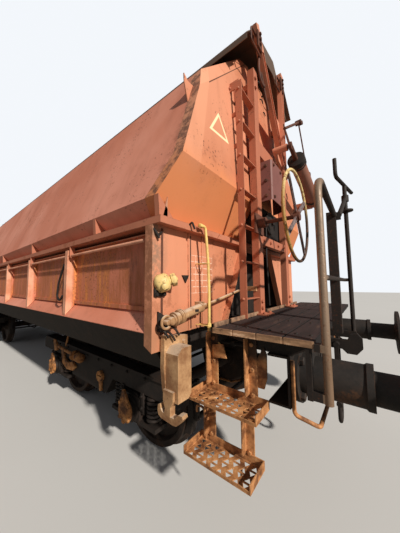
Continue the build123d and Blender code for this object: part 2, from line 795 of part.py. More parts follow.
def column_frame():
    """Channel posts with a beam, the roof pivot's block and pin, and ties to the end wall."""
    front = half_frame - column_back
    back = front - column_deep
    posts = None
    for y in (column_left_y, column_right_y):
        left, right = y - column_wide / 2, y + column_wide / 2
        channel = [(back, left), (front, left), (front, right), (back, right)]
        channel += [(back, right - 8), (front - 8, right - 8), (front - 8, left + 8), (back, left + 8)]
        post = along_z(channel, deck_z, column_top_z)
        for z in (2700, 3600):
            post += block(crown_x - 60, front - 8, y - 30, y + 30, z - 30, z + 30) - outer
        posts = post if posts is None else posts + post
    left = column_left_y + column_wide / 2
    right = column_right_y - column_wide / 2
    posts += block(front - 60, front - 8, left, right, beam_low_z, beam_high_z)
    posts += block(front - 60, front, left, right, roof_pivot_z - 75, roof_pivot_z + 75)
    pin_tip = half_frame - arm_front_back + 8
    posts += rod((front, roof_pivot_y, roof_pivot_z), (pin_tip, roof_pivot_y, roof_pivot_z), pivot_pin)
    return posts


def ram_bracket():
    plane = half_frame - ram_plane
    low, high = ram_pin_z - 45, ram_pin_z + 45
    arm = block(crown_x - 60, plane - 28, ram_pin_y - 45, ram_pin_y + 45, low, high)
    pin = rod((plane - 28, ram_pin_y, ram_pin_z), (plane + 28, ram_pin_y, ram_pin_z), 40)
    return arm - outer + pin


def column_foot():
    """The beam across the centre sills on which the columns stand where there is no platform."""
    front = half_frame - column_back
    left = column_left_y - column_wide / 2
    right = column_right_y + column_wide / 2
    return block(front - column_deep, front, left, right, sill_top_z, deck_z)


def gear_cover():
    """A rounded sheet cover between the columns, closed at the top."""
    left = column_left_y + column_wide / 2
    back, front = half_frame - 470, half_frame - 300
    line = [(back, left), (front - 12, left), (front, left + 12), (front, -70), (front - 14, 20)]
    line += [(front - 55, 90), (front - 110, 130), (back, 150)]
    cover = along_z(bent(line, 4), cover_low_z, cover_high_z)
    return cover + along_z(line, cover_high_z - 4, cover_high_z)


# End platform
board_wide = 148


def deck():
    """Boards laid across the wagon, with grooves where they meet."""
    back, front = half_frame - deck_in, half_frame + deck_out
    low = deck_z - deck_thick
    floor = block(back, front, -deck_half, deck_half, low, deck_z)
    for i in range(1, int((deck_in + deck_out) / board_wide) + 1):
        x = front - i * board_wide
        if x > back + 20:
            floor -= block(x - 3, x + 3, -deck_half, deck_half, deck_z - 5, deck_z)
    return floor


def deck_frame():
    """Bearers on the centre sills and on the headstock, with a hanger for the rail's left foot."""
    back, front = half_frame - deck_in + 10, half_frame + deck_out - 15
    high = deck_z - deck_thick
    bearers = []
    for y in (-1040, -640, 640, 1040):
        shape = [(back, high), (back, high - 25), (half_frame - headstock_deep, headstock_high_z)]
        shape += [(half_frame, headstock_high_z), (front, high - 25), (front, high)]
        bearers.append(along_y(shape, y - 25, y + 25))
    for y in (-sill_y, sill_y):
        bearers.append(block(back, half_frame - plate, y - 40, y + 40, sill_top_z, high))
    foot = block(front - 25, front, rail_left_y - 15, rail_left_y + 15, 1040, high)
    return bearers + [foot]


tread_rim, tread_lip = 45, 12
hole_pitch_x, hole_pitch_y = 52, 43


def tread(z, back):
    """A perforated plate with ends and back turned up high and its outer edge low."""
    x0, x1 = half_frame - back, half_frame - back + tread_long
    y0, y1 = -tread_edge_y - tread_deep, -tread_edge_y
    tray = block(x0, x1, y0, y1, z - 5, z + tread_rim)
    tray -= block(x0 + 6, x1 - 6, y0, y1 - 6, z, z + tread_rim)
    tray += block(x0, x1, y0, y0 + 6, z - 5, z + tread_lip)
    upward = outline([(0, 0), (40, 0), (20, 33)])
    downward = outline([(0, 33), (40, 33), (20, 0)])
    cuts = None
    for j in range(4):
        for i in range(8):
            hole = upward if (i + j) % 2 == 0 else downward
            place = Pos(x0 + 20 + i * hole_pitch_x, y0 + 12 + j * hole_pitch_y, z - 6)
            cut = place * extrude(hole, 8, dir=(0, 0, 1))
            cuts = cut if cuts is None else cuts + cut
    return tray - cuts


def steps():
    """Two treads at the left of the platform, on angle hangers."""
    step = None
    for z, back in tread_rows:
        piece = tread(z, back)
        step = piece if step is None else step + piece
    y = -tread_edge_y
    for low, high, back in hanger_rows:
        x = half_frame - back
        step += block(x, x + 60, y, y + 8, low, high)
        step += block(x, x + 8, y - 50, y + 8, low + 50, high)
    return step


def ladder():
    """Flat stile on the left with its top bent to the wall, and flat rungs to the post."""
    x = half_frame - column_back - 34
    right = column_left_y - column_wide / 2
    top_z = first_rung_z + (rung_count - 1) * rung_pitch + 70
    frame = block(x - 30, x + 30, stile_y, stile_y + 10, deck_z, top_z)
    for i in range(rung_count):
        z = first_rung_z + i * rung_pitch
        frame += block(x - 26, x + 26, stile_y + 10, right, z - 8, z)
    for low in (top_z - 60, 2480):
        frame += block(crown_x - 60, x - 30, stile_y, stile_y + 10, low, low + 60) - outer
    return frame


def hand_wheel():
    x = half_frame - 65
    centre = Pos(x, wheel_y, wheel_z)
    ring = centre * Rot(0, 90, 0) * Torus(wheel_radius, 12)
    ring += centre * Rot(0, 90, 0) * Cylinder(38, 46)
    for i in range(4):
        spoke = Pos(0, 0, wheel_radius / 2) * Box(14, 34, wheel_radius)
        spoke -= Pos(5, 0, wheel_radius / 2) * Box(8, 20, wheel_radius - 110)
        ring += centre * Rot(35 + 90 * i, 0, 0) * spoke
    face = half_frame - column_back
    ring += rod((x, wheel_y, wheel_z), (face + 15, wheel_y, wheel_z), 34)
    ring += rod((face, wheel_y, wheel_z), (face + 90, wheel_y, wheel_z), 90)
    ring += block(face, face + 15, wheel_y - 60, column_left_y + 45, wheel_z - 90, wheel_z + 90)
    return ring


def guard_rail():
    """Round rail on the left, an angle post in the middle and a bar out to the brake pole."""
    x = half_frame + rail_out
    line = [(x, rail_left_y, 1040), (x, rail_left_y, rail_left_z), (x, rail_right_y, rail_right_z)]
    rail = tube(line, 110, 38)
    near, far = rail_right_y - 30, rail_right_y + 30
    rail += block(x - 50, x + 10, near, near + 8, deck_z - 80, rail_right_z + 25)
    rail += block(x + 2, x + 10, near, far, deck_z - 80, rail_right_z + 25)
    rail += rod((x, rail_left_y, rail_bar_z), (x, pole_y + 15, rail_bar_z), 30)
    clamp_x = half_frame + pole_out - pole_diameter / 2
    rail += block(x, clamp_x, pole_y - 15, pole_y + 15, rail_bar_z - 15, rail_bar_z + 15)
    for y in (rail_left_y, rail_right_y):
        rail += block(half_frame + deck_out, x, y - 22, y + 22, deck_z - 45, deck_z - 10)
    rail += block(half_frame + deck_out - 15, x, rail_left_y - 15, rail_left_y + 15, 1045, 1085)
    return rail



def brake_column():
    """Pole with a cranked handle and a ratchet disc, stayed to the rail's post."""
    x = half_frame + pole_out
    column = rod((x, pole_y, 1100), (x, pole_y, pole_top_z), pole_diameter)
    column += block(half_frame, x + 20, pole_y - 30, pole_y + 30, 1100, 1160)
    column += rod((x, pole_y, pole_top_z - 262), (x, pole_y, pole_top_z - 250), 120)
    column += rod((x, pole_y, pole_top_z - 165), (x, pole_y, pole_top_z - 105), 60)
    pad_x = half_frame + rail_out + 10
    low, high = rail_right_z - 30, rail_right_z + 25
    column += block(pad_x, pad_x + 30, rail_right_y + 3, rail_right_y + 30, low, high)
    column += rod((pad_x + 20, rail_right_y + 14, rail_right_z), (x, pole_y, pole_top_z - 135), 34)
    swing = math.radians(crank_turn)
    reach_x, reach_y = crank_half * math.sin(swing), crank_half * math.cos(swing)
    tip = (x - reach_x, pole_y - reach_y)
    crank = [(x + reach_x, pole_y + reach_y, pole_top_z), (*tip, pole_top_z), (*tip, pole_top_z + 165)]
    return column + tube(crank, 40, 32)


os.makedirs("parts", exist_ok=True)

sides, ends = hopper_walls()
window = inspection_window()
save("hopper_side_left", sides[0])
save("hopper_side_right", sides[-1])
save("hopper_end_front", ends[-1] - window)
save("hopper_end_rear", ends[0] - rear(window))
save("saddle_floor", saddle_floor())
save("waist_rim", waist_rim() + flap_hangers())
save("box_end_front", box_end())
save("box_end_rear", rear(box_end()))
beams = Part() + centre_sills()
save("centre_sills", beams)
save("cross_members", Part() + cross_members(beams))
save("body_bolster_front", body_bolster(beams))
save("body_bolster_rear", rear(body_bolster(beams)))
save("side_sills", side_sills())
save("saddle_frames", Part() + saddle_frames())
save("headstock_front", headstock(beams))
save("headstock_rear", rear(headstock(beams)))
save("brake_gear", Part() + brake_gear())
for end, turn in (("front", lambda s: s), ("rear", rear)):
    save("buffer_left_" + end, turn(buffer(-buffer_y)))
    save("buffer_right_" + end, turn(buffer(buffer_y)))
    save("coupling_" + end, turn(coupling()))
grips = both_sides(shunter_grip())
save("shunter_grips", grips + rear(grips))
for end, x in (("front", half_pivot), ("rear", -half_pivot)):
    save("bogie_frame_" + end, bogie_frame(x))
    save("axle_boxes_" + end, Part() + axle_boxes(x))
    save("springs_" + end, Part() + springs(x))
    save("bogie_brakes_" + end, Part() + bogie_brakes(x))
for number, sign, side in ((1, 1, 1), (2, 1, -1), (3, -1, 1), (4, -1, -1)):
    save("wheelset_" + str(number), wheelset(sign * half_pivot + side * wheel_base / 2))
leaf = flap()
save("flap_right_front", leaf)
save("flap_right_rear", rear(leaf))
save("flap_left_front", mirror(leaf, about=Plane.XZ))
save("flap_left_rear", rear(mirror(leaf, about=Plane.XZ)))
save("lock_gear", Part() + lock_gear())
save("lever_shaft", lever_shaft())
save("air_valve", Part() + [air_valve(), air_pipe()])
save("roof_shell", roof_shell())
save("roof_arms_front", roof_arms())
save("roof_arms_rear", rear(roof_arms()))
save("roof_cylinder", ram())
save("roof_cylinder_rod", ram_piston())
columns = column_frame()
save("end_columns_front", Part() + [columns, ram_bracket()])
save("end_columns_rear", rear(columns + column_foot()))
save("gear_cover", gear_cover())
save("deck", deck())
save("deck_frame", Part() + deck_frame())
save("steps_left", steps())
save("steps_right", mirror(steps(), about=Plane.XZ))
save("ladder", ladder())
save("hand_wheel", hand_wheel())
save("guard_rail", guard_rail())
save("brake_column", brake_column())
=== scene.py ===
"""Finish, small fittings and studio for the saddle-bottom hopper wagon."""

import math

import bmesh
import bpy
from bpy.props import FloatProperty, FloatVectorProperty, IntProperty, PointerProperty
from mathutils import Matrix, Vector


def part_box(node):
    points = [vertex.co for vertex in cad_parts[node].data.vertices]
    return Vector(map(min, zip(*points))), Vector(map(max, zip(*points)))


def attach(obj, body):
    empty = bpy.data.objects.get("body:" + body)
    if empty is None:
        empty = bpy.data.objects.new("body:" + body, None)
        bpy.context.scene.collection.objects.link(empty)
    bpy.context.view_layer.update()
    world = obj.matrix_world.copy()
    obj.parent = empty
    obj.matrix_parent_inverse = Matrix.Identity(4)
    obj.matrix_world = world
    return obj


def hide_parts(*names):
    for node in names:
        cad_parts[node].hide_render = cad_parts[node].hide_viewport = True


bl_info = {
    "name": "Hopper wagon finish",
    "version": (1, 0, 0),
    "blender": (4, 5, 0),
    "location": "View3D > Sidebar > Wagon",
    "description": "Weathered finish, small fittings and a plain studio for a hopper wagon",
    "category": "Object",
}

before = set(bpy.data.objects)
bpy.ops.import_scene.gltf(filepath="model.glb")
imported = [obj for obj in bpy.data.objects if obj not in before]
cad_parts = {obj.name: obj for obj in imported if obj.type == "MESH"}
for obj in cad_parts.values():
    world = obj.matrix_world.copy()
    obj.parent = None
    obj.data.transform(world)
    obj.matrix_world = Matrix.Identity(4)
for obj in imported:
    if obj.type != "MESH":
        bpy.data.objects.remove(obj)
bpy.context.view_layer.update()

# Sizes in metres; heights are over the rail, which lies above the flanges' lowest point
flange_depth = 0.03
headstock_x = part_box("headstock_front")[1].x
half_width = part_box("waist_rim")[1].y
pivot_x, half_base, frame_face = 3.3, 0.9, 1.060
buffer_y, buffer_z = 0.875, 1.06
ladder_y, rung_pitch = -0.72, 0.31
deck_top, deck_reach, board_wide = 1.32, 0.14, 0.148
wheel_y, wheel_z = -0.48, 2.15
# The air pipe's corners, as (y, height)
pipe_line = ((-1.157, 2.012), (-1.104, 2.016), (-1.091, 1.927), (-1.072, 1.751), (-1.065, 1.556))
pipe_line += ((-1.069, 1.308), (-1.078, 1.214), (-0.940, 1.150))

forward, leftward, upward = (1, 0, 0), (0, -1, 0), (0, 0, 1)
both_ends = ((1, "front"), (-1, "rear"))
# The front bogie's fittings get orange iron, rust made bright as painted sunlight; the rear's get the dark
# wheel iron, as painted shade
bogie_iron = {"front": "sunlit_orange_iron", "rear": "wheel_iron"}

# Colours of marks, stains and bare patches, and of painted light and shade
form_line, cream_line = (0.86, 0.66, 0.52), (0.96, 0.82, 0.50)
low_orange, lit_facet = (0.84, 0.295, 0.110), (0.86, 0.40, 0.235)
post_stain, strip_rust_and_shade, foot_rust = (0.30, 0.175, 0.115), (0.33, 0.115, 0.05), (0.34, 0.17, 0.09)
crust_brown, crust_black = (0.30, 0.135, 0.075), (0.10, 0.046, 0.030)
flap_black, rib_red, rib_pale = (0.095, 0.042, 0.026), (0.62, 0.25, 0.14), (0.86, 0.43, 0.28)
under_deck_shade, roof_rust, split_wood = (0.020, 0.012, 0.008), (0.46, 0.165, 0.075), (0.95, 0.66, 0.44)
leg_foot, rim_shade_dark, red_dark = (0.22, 0.13, 0.075), (0.075, 0.045, 0.028), (0.13, 0.045, 0.026)

# Material of every node, by how its name starts; the longest start counts
node_finishes = {
    "oxide_side": ("hopper_side", "saddle_floor"),
    "oxide_end": ("hopper_end",),
    "oxide_box": ("box_end",),
    "oxide_column": ("end_columns", "ladder"),
    "oxide_arm": ("roof_arms",),
    "oxide_cylinder": ("roof_cylinder",),
    "oxide_cover": ("gear_cover",),
    "oxide_rim": ("waist_rim",),
    "rusty_flap": ("flap_",),
    "old_iron": (
        "centre_sills", "cross_members", "body_bolster", "side_sills", "saddle_frames", "brake_",
        "bogie_", "axle_boxes", "springs", "headstock", "coupling", "deck_frame",
    ),
    "wheel_iron": ("wheelset",),
    "buffer_iron": ("buffer",),
    "tan_iron": ("steps", "shunter_grips"),
    "casting_iron": ("lock_gear", "lever_shaft"),
    "roof_sheet": ("roof_shell",),
    "deck_boards": ("deck",),
    "rubbed_rail": ("guard_rail",),
    "red_iron": ("roof_cylinder_rod",),
    "wheel_paint": ("hand_wheel",),
    "valve_cream": ("air_valve",),
}


# Places

def at(back, y, z):
    """A point given by its distance back from the front headstock's face, y and height over the rail."""
    return Vector((headstock_x - back, y, z + flange_depth))


def across(back, *spots):
    """Points at one distance back, from pairs of y and height."""
    return [at(back, y, z) for y, z in spots]


def along(y, *spots):
    """Points at one y, from pairs of distance back and height."""
    return [at(back, y, z) for back, z in spots]


def wall_back(z):
    """How far back the hopper's end wall is at a height over the rail, above its fold."""
    fold_back, fold_z, lean = 0.485, 2.42, 0.0521
    return fold_back + lean * (z - fold_z)


def facing(point, outward, turn=0.0):
    """A place at a point, with its Z axis outward."""
    look = Vector(outward).to_track_quat("Z", "Y").to_matrix().to_4x4()
    return Matrix.Translation(point) @ look @ Matrix.Rotation(turn, 4, "Z")


def on_face(points, outward):
    return [facing(point, outward) for point in points]


def mirrored(points, outward, sides=(1, -1)):
    """Places at the points of the left front corner, and at the like points of the other corners."""
    spots = []
    for side in sides:
        for end in (1, -1):
            flip = Matrix.Diagonal((end, side, 1))
            for count, point in enumerate(points):
                spots.append(facing(flip @ Vector(point), flip @ Vector(outward), 0.7 * count))
    return spots


def in_ring(place, radius, count, start=0.0):
    """Places in a ring around the axis of a place."""
    spots = []
    for i in range(count):
        angle = start + math.tau * i / count
        step = Matrix.Translation((radius * math.cos(angle), radius * math.sin(angle), 0))
        spots.append(place @ step @ Matrix.Rotation(1.3 * i, 4, "Z"))
    return spots


# Modelling steps that the pieces share

def deselect():
    if bpy.context.object and bpy.context.object.mode != "OBJECT":
        bpy.ops.object.mode_set(mode="OBJECT")
    bpy.ops.object.select_all(action="DESELECT")


def select(piece):
    deselect()
    piece.select_set(True)
    bpy.context.view_layer.objects.active = piece


def named(name):
    """The object that was just added, with its place, turn and scale applied to its mesh."""
    bpy.ops.object.transform_apply(location=True, rotation=True, scale=True)
    piece = bpy.context.object
    piece.name = name
    piece.data.name = name
    return piece


def edit(piece):
    select(piece)
    bpy.ops.object.mode_set(mode="EDIT")
    bpy.ops.mesh.select_mode(type="FACE")
    bpy.ops.mesh.select_all(action="DESELECT")


def choose_points(piece, test):
    """In edit mode, selects the vertices whose place and count of edges pass the test."""
    bpy.ops.mesh.select_mode(type="VERT")
    mesh = bmesh.from_edit_mesh(piece.data)
    for vertex in mesh.verts:
        vertex.select_set(bool(test(vertex.co, len(vertex.link_edges))))
    mesh.select_flush(True)
    bmesh.update_edit_mesh(piece.data)


def close(piece):
    """Merges doubles, turns the normals outwards and leaves edit mode."""
    bpy.ops.mesh.select_all(action="SELECT")
    bpy.ops.mesh.remove_doubles(threshold=0.00005)
    bpy.ops.mesh.normals_make_consistent(inside=False)
    bpy.ops.object.mode_set(mode="OBJECT")
    return piece


def step_face(piece, toward, *steps, within=lambda middle: True):
    """Insets the faces that look one way and moves them that way, once for each (inset, rise)."""
    toward = Vector(toward)
    edit(piece)
    mesh = bmesh.from_edit_mesh(piece.data)
    for face in mesh.faces:
        face.select_set(face.normal.dot(toward) > 0.9 and within(face.calc_center_median()))
    bmesh.update_edit_mesh(piece.data)
    for inset, rise in steps:
        bpy.ops.mesh.inset(thickness=inset)
        bpy.ops.transform.translate(value=toward * rise)
    return close(piece)


def softened(piece, width, segments=2, angle=35):
    """Rounds the sharp edges of a piece with an applied bevel and smooths what is nearly flat."""
    select(piece)
    bevel = piece.modifiers.new("edges", "BEVEL")
    bevel.width = width
    bevel.segments = segments
    bevel.limit_method = "ANGLE"
    bevel.angle_limit = math.radians(angle)
    bpy.ops.object.modifier_apply(modifier=bevel.name)
    bpy.ops.object.shade_smooth_by_angle(angle=math.radians(angle))
    return piece


def rounded_block(name, low, high, width=0.004):
    """A block between two corners, with rounded edges."""
    deselect()
    low, high = Vector(low), Vector(high)
    bpy.ops.mesh.primitive_cube_add(size=1, location=(low + high) / 2, scale=high - low)
    return softened(named(name), width)


def disc(name, start, end, diameter, sides=24, edge=0.0):
    """A cylinder from one point to another, its rims rounded by edge."""
    deselect()
    start, end = Vector(start), Vector(end)
    middle, way = (start + end) / 2, end - start
    turn = way.to_track_quat("Z", "Y").to_euler()
    bpy.ops.mesh.primitive_cylinder_add(
        vertices=sides, radius=diameter / 2, depth=way.length, location=middle, rotation=turn
    )
    piece = named(name)
    return softened(piece, edge) if edge else piece


def bent_bar(name, points, diameter, bend=0.0, sides=3):
    """A round bar: one point extruded along a line, its corners rounded, then given its thickness."""
    deselect()
    bpy.ops.mesh.primitive_plane_add(size=0.001, location=points[0])
    bar = named(name)
    edit(bar)
    bpy.ops.mesh.select_mode(type="VERT")
    bpy.ops.mesh.select_all(action="SELECT")
    bpy.ops.mesh.merge(type="CENTER")
    for near, far in zip(points, points[1:]):
        bpy.ops.mesh.extrude_vertices_move(TRANSFORM_OT_translate={"value": Vector(far) - Vector(near)})
    if bend:
        choose_points(bar, lambda place, edges: edges == 2)
        bpy.ops.mesh.bevel(offset=bend, offset_type="OFFSET", segments=5, affect="VERTICES")
    bpy.ops.object.mode_set(mode="OBJECT")
    bpy.ops.object.convert(target="CURVE")
    bar.data.bevel_depth = diameter / 2
    bar.data.bevel_resolution = sides
    bar.data.use_fill_caps = True
    bpy.ops.object.convert(target="MESH")
    edit(bar)
    close(bar)
    bpy.ops.object.shade_smooth_by_angle(angle=math.radians(50))
    return bar


def cut_plate(name, points, thick, edge=0.003):
    """A plate: the corners of a flat disc pulled to the points, extruded by thick and its edges rounded."""
    deselect()
    bpy.ops.mesh.primitive_circle_add(vertices=len(points), radius=0.01, fill_type="NGON", location=points[0])
    plate = named(name)
    corners = [vertex.co.copy() for vertex in plate.data.vertices]
    edit(plate)
    bpy.ops.mesh.select_mode(type="VERT")
    for corner, point in zip(corners, points):
        choose_points(plate, lambda place, edges: (place - corner).length < 0.00001)
        bpy.ops.transform.translate(value=Vector(point) - corner)
    bpy.ops.mesh.select_all(action="SELECT")
    bpy.ops.mesh.extrude_region_move(TRANSFORM_OT_translate={"value": thick})
    return softened(close(plate), edge)


def copied(source, name, places):
    """Copies of a modelled piece, one at each place, joined with their places in the mesh."""
    deselect()
    for place in places:
        twin = source.copy()
        twin.data = source.data.copy()
        bpy.context.collection.objects.link(twin)
        twin.matrix_world = place
        twin.select_set(True)
    bpy.context.view_layer.objects.active = twin
    bpy.ops.object.join()
    piece = named(name)
    bpy.data.objects.remove(source)
    return piece


def joined(name, pieces):
    deselect()
    for piece in pieces:
        piece.select_set(True)
    bpy.context.view_layer.objects.active = pieces[0]
    if len(pieces) > 1:
        bpy.ops.object.join()
    return named(name)


def at_both_ends(piece, name):
    """The piece and its mirror image at the rear, its normals turned outwards again."""
    both = copied(piece, name, (Matrix.Identity(4), Matrix.Scale(-1, 4, (1, 0, 0))))
    edit(both)
    return close(both)


def dressed(piece, material="old_iron", body="wagon_body"):
    """Gives a finished piece its material and its body."""
    piece.data.materials.clear()
    piece.data.materials.append(bpy.data.materials[material])
    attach(piece, body)
    return piece


def bolt(wide, tall):
    """A hexagon head, wide across its flats, with a chamfered top and a round washer."""
    head = disc("bolt", (0, 0, 0), (0, 0, tall), wide * 1.155, 6)
    step_face(head, upward, (wide * 0.10, tall * 0.12))
    edit(head)
    washer_wide, washer_tall = wide * 1.35, tall * 0.2
    bpy.ops.mesh.primitive_cylinder_add(
        vertices=14, radius=washer_wide / 2, depth=washer_tall, location=(0, 0, washer_tall / 2)
    )
    bpy.ops.object.mode_set(mode="OBJECT")
    return head


def rivet(wide, tall):
    """A round head, flatter than a ball."""
    head = disc("rivet", (0, 0, 0), (0, 0, tall), wide, 12)
    step_face(head, upward, (wide * 0.14, tall * 0.45), (wide * 0.16, tall * 0.2))
    bpy.ops.object.shade_smooth_by_angle(angle=math.radians(60))
    return head


# Shader arithmetic

class Signal:
    """A shader socket whose Python arithmetic adds Math nodes."""

    def __init__(self, paint, socket):
        self.paint = paint
        self.socket = socket

    def math(self, operation, first, second=0.0):
        return self.paint.node("ShaderNodeMath", {"operation": operation}, {0: first, 1: second})

    def __add__(self, other):
        return self.math("ADD", self, other)

    __radd__ = __add__

    def __sub__(self, other):
        return self.math("SUBTRACT", self, other)

    def __rsub__(self, other):
        return self.math("SUBTRACT", other, self)

    def __mul__(self, other):
        return self.math("MULTIPLY", self, other)

    __rmul__ = __mul__

    def __neg__(self):
        return self * -1.0

    def __abs__(self):
        return self.math("ABSOLUTE", self)

    def larger(self, other):
        return self.math("MAXIMUM", self, other)

    def smaller(self, other):
        return self.math("MINIMUM", self, other)

    def fraction(self):
        return self.math("FRACT", self)

    def between(self, low, high):
        """0 below low, 1 above high, and a smooth step between them."""
        settings = {"interpolation_type": "SMOOTHSTEP"}
        return self.paint.node("ShaderNodeMapRange", settings, {0: self, 1: low, 2: high})

    def near(self, value, width, soft):
        """1 within width of a value, fading to 0 over soft."""
        return 1.0 - abs(self - value).between(width, width + soft)


class Paint:
    """One material, built from nodes that read the wagon's own coordinates in metres."""

    def __init__(self, name):
        self.material = bpy.data.materials.new(name)
        self.material.use_nodes = True
        self.tree = self.material.node_tree
        self.shader = self.tree.nodes["Principled BSDF"]
        self.place = self.node("ShaderNodeTexCoord", output="Object")
        self.x, self.y, self.z = (self.part(self.place, axis) for axis in range(3))

    def node(self, kind, settings=None, inputs=None, output=0):
        """A node with its settings set first, then its sockets; the signal of one output."""
        node = self.tree.nodes.new(kind)
        for key, value in (settings or {}).items():
            setattr(node, key, value)
        self.feed(node, inputs or {})
        return Signal(self, node.outputs[output])

    def feed(self, node, inputs):
        for key, value in inputs.items():
            if isinstance(value, Signal):
                self.tree.links.new(value.socket, node.inputs[key])
            else:
                node.inputs[key].default_value = value

    def part(self, vector, axis):
        """One coordinate of a vector."""
        return self.node("ShaderNodeSeparateXYZ", inputs={0: vector}, output=axis)

    def normal(self):
        return self.node("ShaderNodeNewGeometry", output="Normal")

    def front(self):
        """1 on the wagon's front half, 0 on its rear half."""
        return self.x.between(0.0, 0.1)

    def noise(self, scale, detail=4, stretch=(1, 1, 1), shift=(0, 0, 0), rough=0.55):
        place = {"Vector": self.place, "Location": shift, "Scale": stretch}
        vector = self.node("ShaderNodeMapping", inputs=place)
        sockets = {"Vector": vector, "Scale": scale, "Detail": detail, "Roughness": rough}
        return self.node("ShaderNodeTexNoise", inputs=sockets)

    def edges(self, radius=0.01):
        """1 along sharp edges, 0 on flat faces."""
        rounded = self.node("ShaderNodeBevel", {"samples": 4}, {"Radius": radius})
        sockets = {0: rounded, 1: self.normal()}
        same = self.node("ShaderNodeVectorMath", {"operation": "DOT_PRODUCT"}, sockets, output="Value")
        return (1.0 - same).between(0.015, 0.20)

    def upward(self):
        """1 on faces that look up, 0 on the others."""
        return self.part(self.normal(), 2).between(0.35, 0.85)

    def sideways(self):
        """1 on faces that look to the wagon's sides, 0 on the others."""
        return abs(self.part(self.normal(), 1)).between(0.70, 0.82)

    def mix(self, first, second, factor):
        settings = {"data_type": "RGBA"}
        sockets = {0: factor, 6: rgba(first), 7: rgba(second)}
        return self.node("ShaderNodeMix", settings, sockets, output=2)

    def finish(self, colour, roughness, height=None, depth=0.002, metallic=0.0):
        self.feed(self.shader, {"Base Color": colour, "Roughness": roughness, "Metallic": metallic})
        if height is not None:
            bump = self.node("ShaderNodeBump", inputs={"Height": height, "Distance": depth, "Strength": 1.0})
            self.feed(self.shader, {"Normal": bump})
        return self.material


def rgba(colour):
    return colour if isinstance(colour, Signal) else (*colour[:3], 1.0)


def darker(colour, share):
    return tuple(channel * share for channel in colour[:3])


# Finishes

def oxide_paint(name, colour, pale, rust, wear=1.0, seed=0.0, extra=None):
    """Chalky red-brown paint: faded clouds, runs down the sheet, and rust that breaks through."""
    paint = Paint(name)
    shift = (seed, seed * 0.7, seed * 1.3)
    clouds = paint.noise(0.8, 6, shift=shift).between(0.32, 0.68)
    runs = paint.noise(7.0, 6, (1.0, 1.0, 0.09), shift, 0.6).between(0.46, 0.74)
    soot = paint.noise(2.1, 7, (1.0, 1.0, 0.4), shift, 0.62).between(0.54, 0.80)
    blooms = paint.noise(4.2, 9, shift=shift, rough=0.72)
    patches = blooms.between(0.62 - 0.05 * wear, 0.70 - 0.04 * wear)
    specks = paint.noise(46.0, 4, shift=shift).between(0.60, 0.67)
    clusters = paint.noise(2.6, 5, shift=shift, rough=0.6).between(0.50, 0.62)
    pits = specks * clusters
    tone = paint.mix(colour, pale, clouds * 0.8)
    tone = paint.mix(tone, darker(colour, 0.62), runs * 0.28)
    tone = paint.mix(tone, darker(colour, 0.38), soot * 0.34)
    tone = paint.mix(tone, rust, patches * 0.45)
    tone = paint.mix(tone, darker(rust, 0.35), pits * (0.5 + 0.35 * wear))
    worn = paint.edges(0.008) * paint.noise(18.0, 5, shift=shift).between(0.40, 0.58)
    tone = paint.mix(tone, darker(rust, 0.55), worn * 0.75)
    grain = paint.noise(240.0, 2)
    height = grain * 0.12 - pits * 0.7 - patches * 0.25 + clouds * 0.2
    if extra:
        tone, height = extra(paint, tone, height)
    return paint.finish(tone, clouds * 0.12 + patches * 0.2 + 0.55, height, 0.0015)


def hip_grime(look):
    """Dark crust along the front and rear edges of the side sheets, and under the roof."""
    def layer(paint, tone, height):
        edge = (abs(paint.x) + paint.noise(1.8, 6) * 0.35).between(headstock_x - 0.50, headstock_x - 0.40)
        crust = paint.noise(11.0, 9, rough=0.74).between(0.42, 0.58)
        drip = paint.noise(5.0, 6, (1.0, 1.0, 0.12)).between(0.48, 0.62)
        high = paint.z.between(3.45, 4.0) * drip
        tone = paint.mix(tone, darker(look.rust, 0.55), edge * crust * 0.75)
        return paint.mix(tone, darker(look.oxide, 0.45), high * 0.5), height + edge * crust * 0.5
    return layer


def end_marks(paint, tone, height):
    """A blank pale form on the front box end, and the grey stain down the corner post."""
    left, right, low, high = -1.158, -0.872, 1.566, 1.846
    inside = paint.y.near((left + right) / 2, (right - left) / 2, 0.002)
    inside = inside * paint.z.near((low + high) / 2, (high - low) / 2, 0.002) * paint.front()
    rows = (paint.z - low) * (6 / (high - low)) + 0.5
    columns = (paint.y - left) * (4 / (right - left)) + 0.5
    line_z = rows.fraction().near(0.5, 0.05, 0.03)
    line_y = columns.fraction().near(0.5, 0.028, 0.02)
    kept = paint.noise(26.0, 6, rough=0.7).between(0.38, 0.55)
    tone = paint.mix(tone, form_line, inside * line_z.larger(line_y) * kept * 0.8)
    stain = paint.noise(3.0, 6, (1.0, 1.0, 0.3)).between(0.40, 0.60)
    post = (-paint.y).between(half_width - 0.16, half_width - 0.03)
    mottle = paint.noise(16.0, 8, rough=0.72).between(0.38, 0.56)
    tone = paint.mix(tone, post_stain, post * mottle * paint.z.between(1.45, 1.80) * 0.85)
    # The post's side face: mottled rust and painted shade, in one darker colour
    strip = paint.sideways() * (-paint.y).between(half_width - 0.01, half_width - 0.005)
    tone = paint.mix(tone, strip_rust_and_shade, strip * mottle * 0.8)
    foot = 1.0 - (paint.z + paint.noise(4.0, 5) * 0.3).between(1.42, 1.66)
    return paint.mix(tone, foot_rust, foot * stain * 0.6), height


